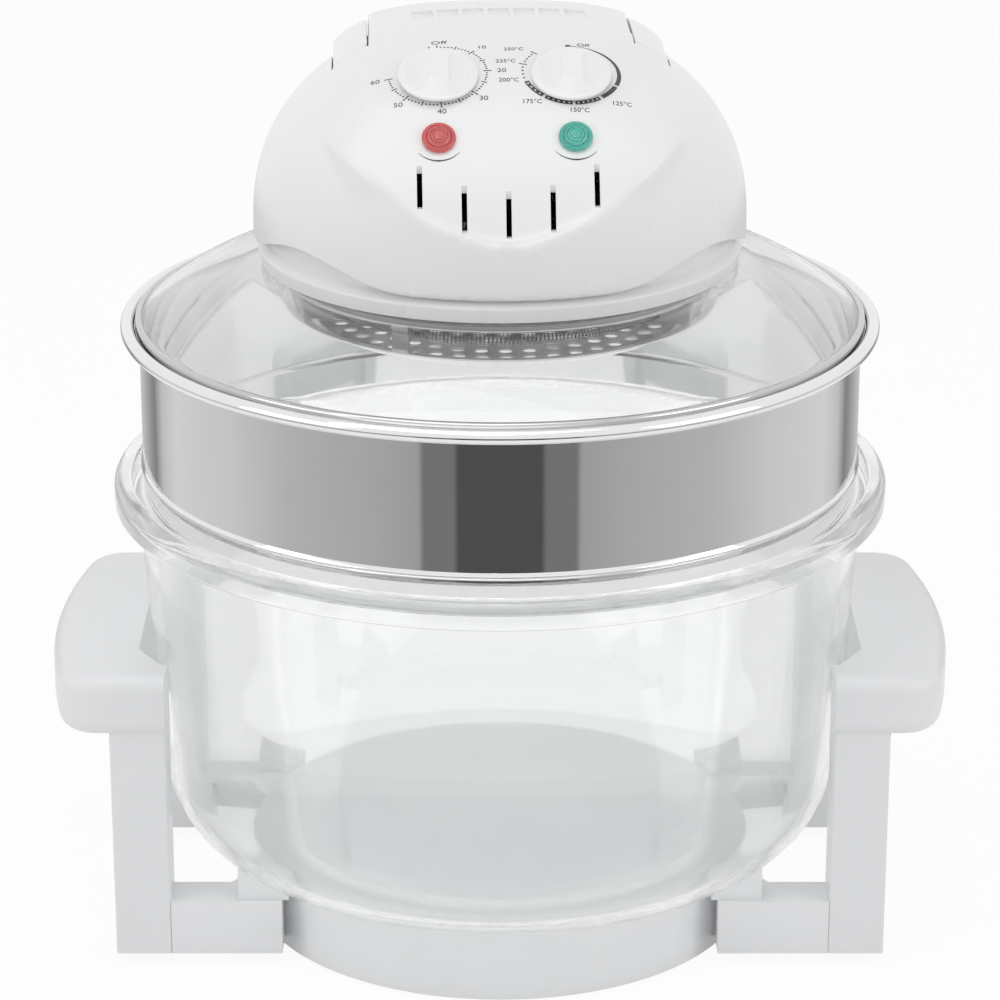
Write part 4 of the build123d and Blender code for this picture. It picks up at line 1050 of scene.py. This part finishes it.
def makeKnob(name, side, node):
    rim = knob["rim"]
    high = knob["height"]
    piece = turned(name, [
        (0, knob["lift"], 0), (knob["radius"], knob["lift"], 0.5), (knob["radius"] - 0.3, rim, 0.7),
        (knob["coneFoot"], rim + 0.2, 0.4), (knob["coneTop"], high, 1.6), (0, high, 0),
    ], 96, 2)
    radius = knob["scoopRadius"]
    depth = high - knob["scoopFloor"]
    away = knob["barHalf"] + math.sqrt(depth * (2 * radius - depth))
    for x in (-away, away):
        tool = drum("scoop", radius, 60, (x, 0, knob["scoopFloor"] + radius), (90, 0, 0), 96)
        combine(piece, "DIFFERENCE", tool)
    evened(piece, 0.3, 3)
    put(piece, seatOf(side * knob["x"], knob["y"]))
    dress(piece, "knob", node, angle=40)


def makeLamp(name, side, node, look):
    corners = [(0, lamp["line"][0][1], 0)] + lamp["line"] + [(0, lamp["line"][-1][1], 0)]
    piece = turned(name, corners, 64, 1.5)
    put(piece, seatOf(side * lamp["x"], lamp["y"]))
    dress(piece, look, node, angle=24)


def clockPlace(angle, radius, middle):  # degrees clockwise from the top of the dial
    turn = math.radians(angle)
    return Vector((radius * math.sin(turn), radius * math.cos(turn) * marks["squash"] + middle, 0))


def disc(place, radius):
    clearPick()
    bpy.ops.mesh.primitive_circle_add(vertices=12, radius=radius * mm, fill_type="NGON", location=place * mm)
    return bpy.context.object


def patch(points):
    piece = drawChain("patch", points, closed=True)
    bpy.ops.mesh.edge_face_add()
    bpy.ops.object.mode_set(mode="OBJECT")
    return piece


def tick(angle, inner, outer, wide, middle):
    across = clockPlace(angle + 90, wide / 2, 0)
    near = clockPlace(angle, inner, middle)
    far = clockPlace(angle, outer, middle)
    return patch([near - across, far - across, far + across, near + across])


def band(start, end, middle, inner, outer, steps=24):  # inner and outer are radii at the two ends
    angles = [start + (end - start) * step / steps for step in range(steps + 1)]
    shares = [step / steps for step in range(steps + 1)]
    out = [clockPlace(a, outer[0] + (outer[1] - outer[0]) * share, middle) for a, share in zip(angles, shares)]
    back = [clockPlace(a, inner[0] + (inner[1] - inner[0]) * share, middle) for a, share in zip(angles, shares)]
    return patch(out + back[::-1])


def words(text, place, size, stretch=1.0):
    clearPick()
    bpy.ops.object.text_add(location=place * mm)
    piece = bpy.context.object
    piece.data.body = text
    piece.data.size = size * mm
    piece.data.align_x = "CENTER"
    piece.data.align_y = "CENTER"
    piece.data.resolution_u = 3
    piece.scale = (stretch, 1, 1)
    bpy.ops.object.convert(target="MESH")
    return bpy.context.object


def layOn(piece, place, rise):  # flat marks are laid on the panel and given the thickness of a print
    pick(piece)
    bpy.ops.object.transform_apply(location=True, rotation=True, scale=True)
    piece.matrix_world = place
    step = piece.modifiers.new("lay", "SHRINKWRAP")
    step.target = housing
    step.wrap_method = "PROJECT"
    step.wrap_mode = "ABOVE_SURFACE"
    step.use_project_z = True
    step.use_positive_direction = True
    step.use_negative_direction = True
    step.offset = (rise + marks["thick"]) * mm
    bpy.ops.object.modifier_apply(modifier=step.name)
    bpy.ops.object.transform_apply(location=True, rotation=True, scale=True)
    bpy.ops.object.mode_set(mode="EDIT")
    bpy.ops.mesh.select_all(action="SELECT")
    down = place.to_3x3() @ Vector((0, 0, -marks["thick"] * mm))
    bpy.ops.mesh.extrude_region_move(TRANSFORM_OT_translate={"value": down})
    closeShell()
    return piece


def dialTick(angle, radius, reach):
    return tick(angle, radius - reach[0], radius + reach[1], marks["tick"], marks["middle"])


def makeTimerMarks():
    middle = marks["middle"]
    radius = marks["radius"]
    shapes = []
    for minute in range(timerScale["minutes"] + 1):
        angle = minute * marks["minute"]
        if minute % 10 == 0:
            shapes.append(dialTick(angle, radius, timerScale["longTick"]))
        elif minute % 5 == 0:
            shapes.append(dialTick(angle, radius, timerScale["shortTick"]))
        else:
            shapes.append(disc(clockPlace(angle, radius, middle), marks["dot"]))
    shapes.append(dialTick(timerScale["before"], radius, timerScale["beforeTick"]))
    for minute, away in timerScale["numbers"].items():
        place = clockPlace(minute * marks["minute"], away, middle)
        shapes.append(words(str(minute), place, marks["text"], timerScale["wide"]))
    size = marks["text"] * timerScale["offSize"]
    shapes.append(words("Off", clockPlace(*timerScale["off"], middle), size, timerScale["offWide"]))
    piece = layOn(merged("timerMarks", *shapes), seatOf(-knob["x"], knob["y"]), marks["raise"])
    dress(piece, "ink", body="lid", slot="black_plastic")


def makeThermostatMarks():
    middle = marks["middle"]
    radius = marks["radius"] - heatScale["inset"]
    thick = [radius - heatScale["half"][0], radius + heatScale["half"][1]]
    inner = (thick[0] - 0.1,) * 2
    outer = (thick[1],) * 2
    angle, out = heatScale["start"]
    shapes = [
        disc(clockPlace(angle, radius + out, middle), heatScale["startDot"]),
        band(*heatScale["wedge"], middle, (radius + 0.2, thick[0]), (radius + 0.6, thick[1]), 36),
        band(*heatScale["full"], middle, inner, outer, 10),
    ]
    holes = []
    for start, end, count in heatScale["bands"]:
        shapes.append(band(start, end, middle, inner, outer, 12))
        for index in range(count):
            angle = start + (end - start) * (index + 0.6) / (count + 0.2)
            holes.append(disc(clockPlace(angle, radius, middle), marks["hole"]))
    for angle in heatScale["dots"]:
        shapes.append(disc(clockPlace(angle, radius + 0.2, middle), marks["dot"] * 1.1))
    for angle in heatScale["ticks"]:
        shapes.append(dialTick(angle, radius, heatScale["tick"]))
    for text, (angle, away) in heatScale["numbers"].items():
        shapes.append(words(text, clockPlace(angle, away, middle), marks["text"] * heatScale["size"]))
    shapes.append(words("Off", clockPlace(*heatScale["off"], middle), marks["text"], heatScale["offWide"]))
    seat = seatOf(knob["x"], knob["y"])
    piece = layOn(merged("thermostatMarks", *shapes), seat, marks["raise"])
    dress(piece, "ink", body="lid", slot="black_plastic")
    piece = layOn(merged("thermostatDots", *holes), seat, marks["raise"] + marks["thick"])
    dress(piece, "shell", body="lid", slot="shell_plastic")


def makeLampLine(name, side):
    half = marks["lampArcHalf"]
    radius = marks["lampArc"]
    wide = marks["lampLine"]
    left = band(180 + half, 180, 0, (radius, radius - wide / 2), (radius + 0.12, radius + wide / 2), 12)
    right = band(180, 180 - half, 0, (radius - wide / 2, radius), (radius + wide / 2, radius + 0.12), 12)
    piece = layOn(merged(name, left, right), seatOf(side * lamp["x"], lamp["y"]), marks["raise"])
    dress(piece, "ink", body="lid", slot="black_plastic")


makeKnob("timerKnob", -1, "timer_knob")
makeKnob("thermostatKnob", 1, "thermostat_knob")
makeLamp("powerLampLens", -1, "power_lamp_lens", "redLens")
makeLamp("heatLampLens", 1, "heat_lamp_lens", "greenLens")
makeTimerMarks()
makeThermostatMarks()
makeLampLine("powerLine", -1)
makeLampLine("heatLine", 1)
print("controls done")


# heater under the lid glass

heater = {
    "tubeRing": 68.0, "drop": 16.7, "gapAngle": 24.0, "coilInset": 4, "coilRadius": 2.9, "coilWire": 0.24,
    "coilTurns": 230, "coilSteps": 8,
}
clip = {
    "angles": [-168, -22], "near": 62.5, "far": 88.0, "half": 7.5, "low": -22.6, "high": 2.1, "bore": 5.2,
    "boreLength": 30, "grid": 0.7, "softening": 3,
}
guard = {
    "drop": 25.7, "flat": 81.0, "radius": 93.0, "rise": 5.5, "sheet": 0.8, "hole": 3.05, "punch": 6, "holeSides": 14,
    "rows": [(8.5, 6), (17.5, 11), (26.5, 16), (35.5, 22), (44.5, 28), (53.5, 33), (62.5, 39), (71.5, 45)],
}


def makeCoil():
    start = 90 + heater["gapAngle"] / 2 + heater["coilInset"]
    sweep = 360 - heater["gapAngle"] - 2 * heater["coilInset"]
    count = heater["coilTurns"] * heater["coilSteps"]
    wire = bpy.data.curves.new("heaterCoil", "CURVE")
    wire.dimensions = "3D"
    line = wire.splines.new("POLY")
    line.points.add(count)
    for index in range(count + 1):
        along = math.radians(start + sweep * index / count)
        turn = 2 * math.pi * index / heater["coilSteps"]
        reach = heater["tubeRing"] + heater["coilRadius"] * math.cos(turn)
        height = heater["coilRadius"] * math.sin(turn) - heater["drop"]
        line.points[index].co = (reach * math.cos(along) * mm, reach * math.sin(along) * mm, height * mm, 1)
    wire.bevel_depth = heater["coilWire"] * mm
    wire.bevel_resolution = 0
    piece = bpy.data.objects.new("heaterCoil", wire)
    bpy.context.scene.collection.objects.link(piece)
    pick(piece)
    bpy.ops.object.convert(target="MESH")
    piece = bpy.context.object
    put(piece, lidPlace)
    dress(piece, "core", body="lid", slot="motor_steel", angle=60)


def makeGuard():
    low = -guard["drop"]
    sheet = guard["sheet"]
    flat = guard["flat"]
    rim = guard["radius"]
    high = low + guard["rise"]
    piece = turned("heaterGuard", [
        (0, low, 0), (flat, low, 4), (rim - 3, high, 1.5), (rim, high, 0.2), (rim, high + sheet, 0.2),
        (rim - 3.3, high + sheet, 2.3), (flat - 0.3, low + sheet, 4.8), (0, low + sheet, 0),
    ], 144, 3)
    holes = []
    for reach, count in guard["rows"]:
        for index in range(count):
            angle = 2 * math.pi * index / count - math.pi / 2
            place = (reach * math.cos(angle), reach * math.sin(angle), low)
            holes.append(drum("hole", guard["hole"], guard["punch"], place, sides=guard["holeSides"]))
    combine(piece, "DIFFERENCE", merged("holes", *holes))
    put(piece, lidPlace)
    dress(piece, "guard", "heater_guard")


def makeClips():
    pieces = []
    for angle in clip["angles"]:
        near = (clip["near"], -clip["half"], clip["low"])
        block = brick("block", near, (clip["far"], clip["half"], clip["high"]))
        middle = (heater["tubeRing"], 0, -heater["drop"])
        combine(block, "DIFFERENCE", drum("bore", clip["bore"], clip["boreLength"], middle, (90, 0, 0), 32))
        evened(block, clip["grid"], clip["softening"])
        pieces.append(put(block, Matrix.Rotation(math.radians(angle), 4, "Z")))
    piece = put(merged("tubeClips", *pieces), lidPlace)
    dress(piece, "ceramic", "tube_clips", angle=60)


makeCoil()
makeGuard()
makeClips()
tube = roundedCopy("halogen_tube", 0)
dress(tube, "tubeGlass", "halogen_tube")
print("heater done")
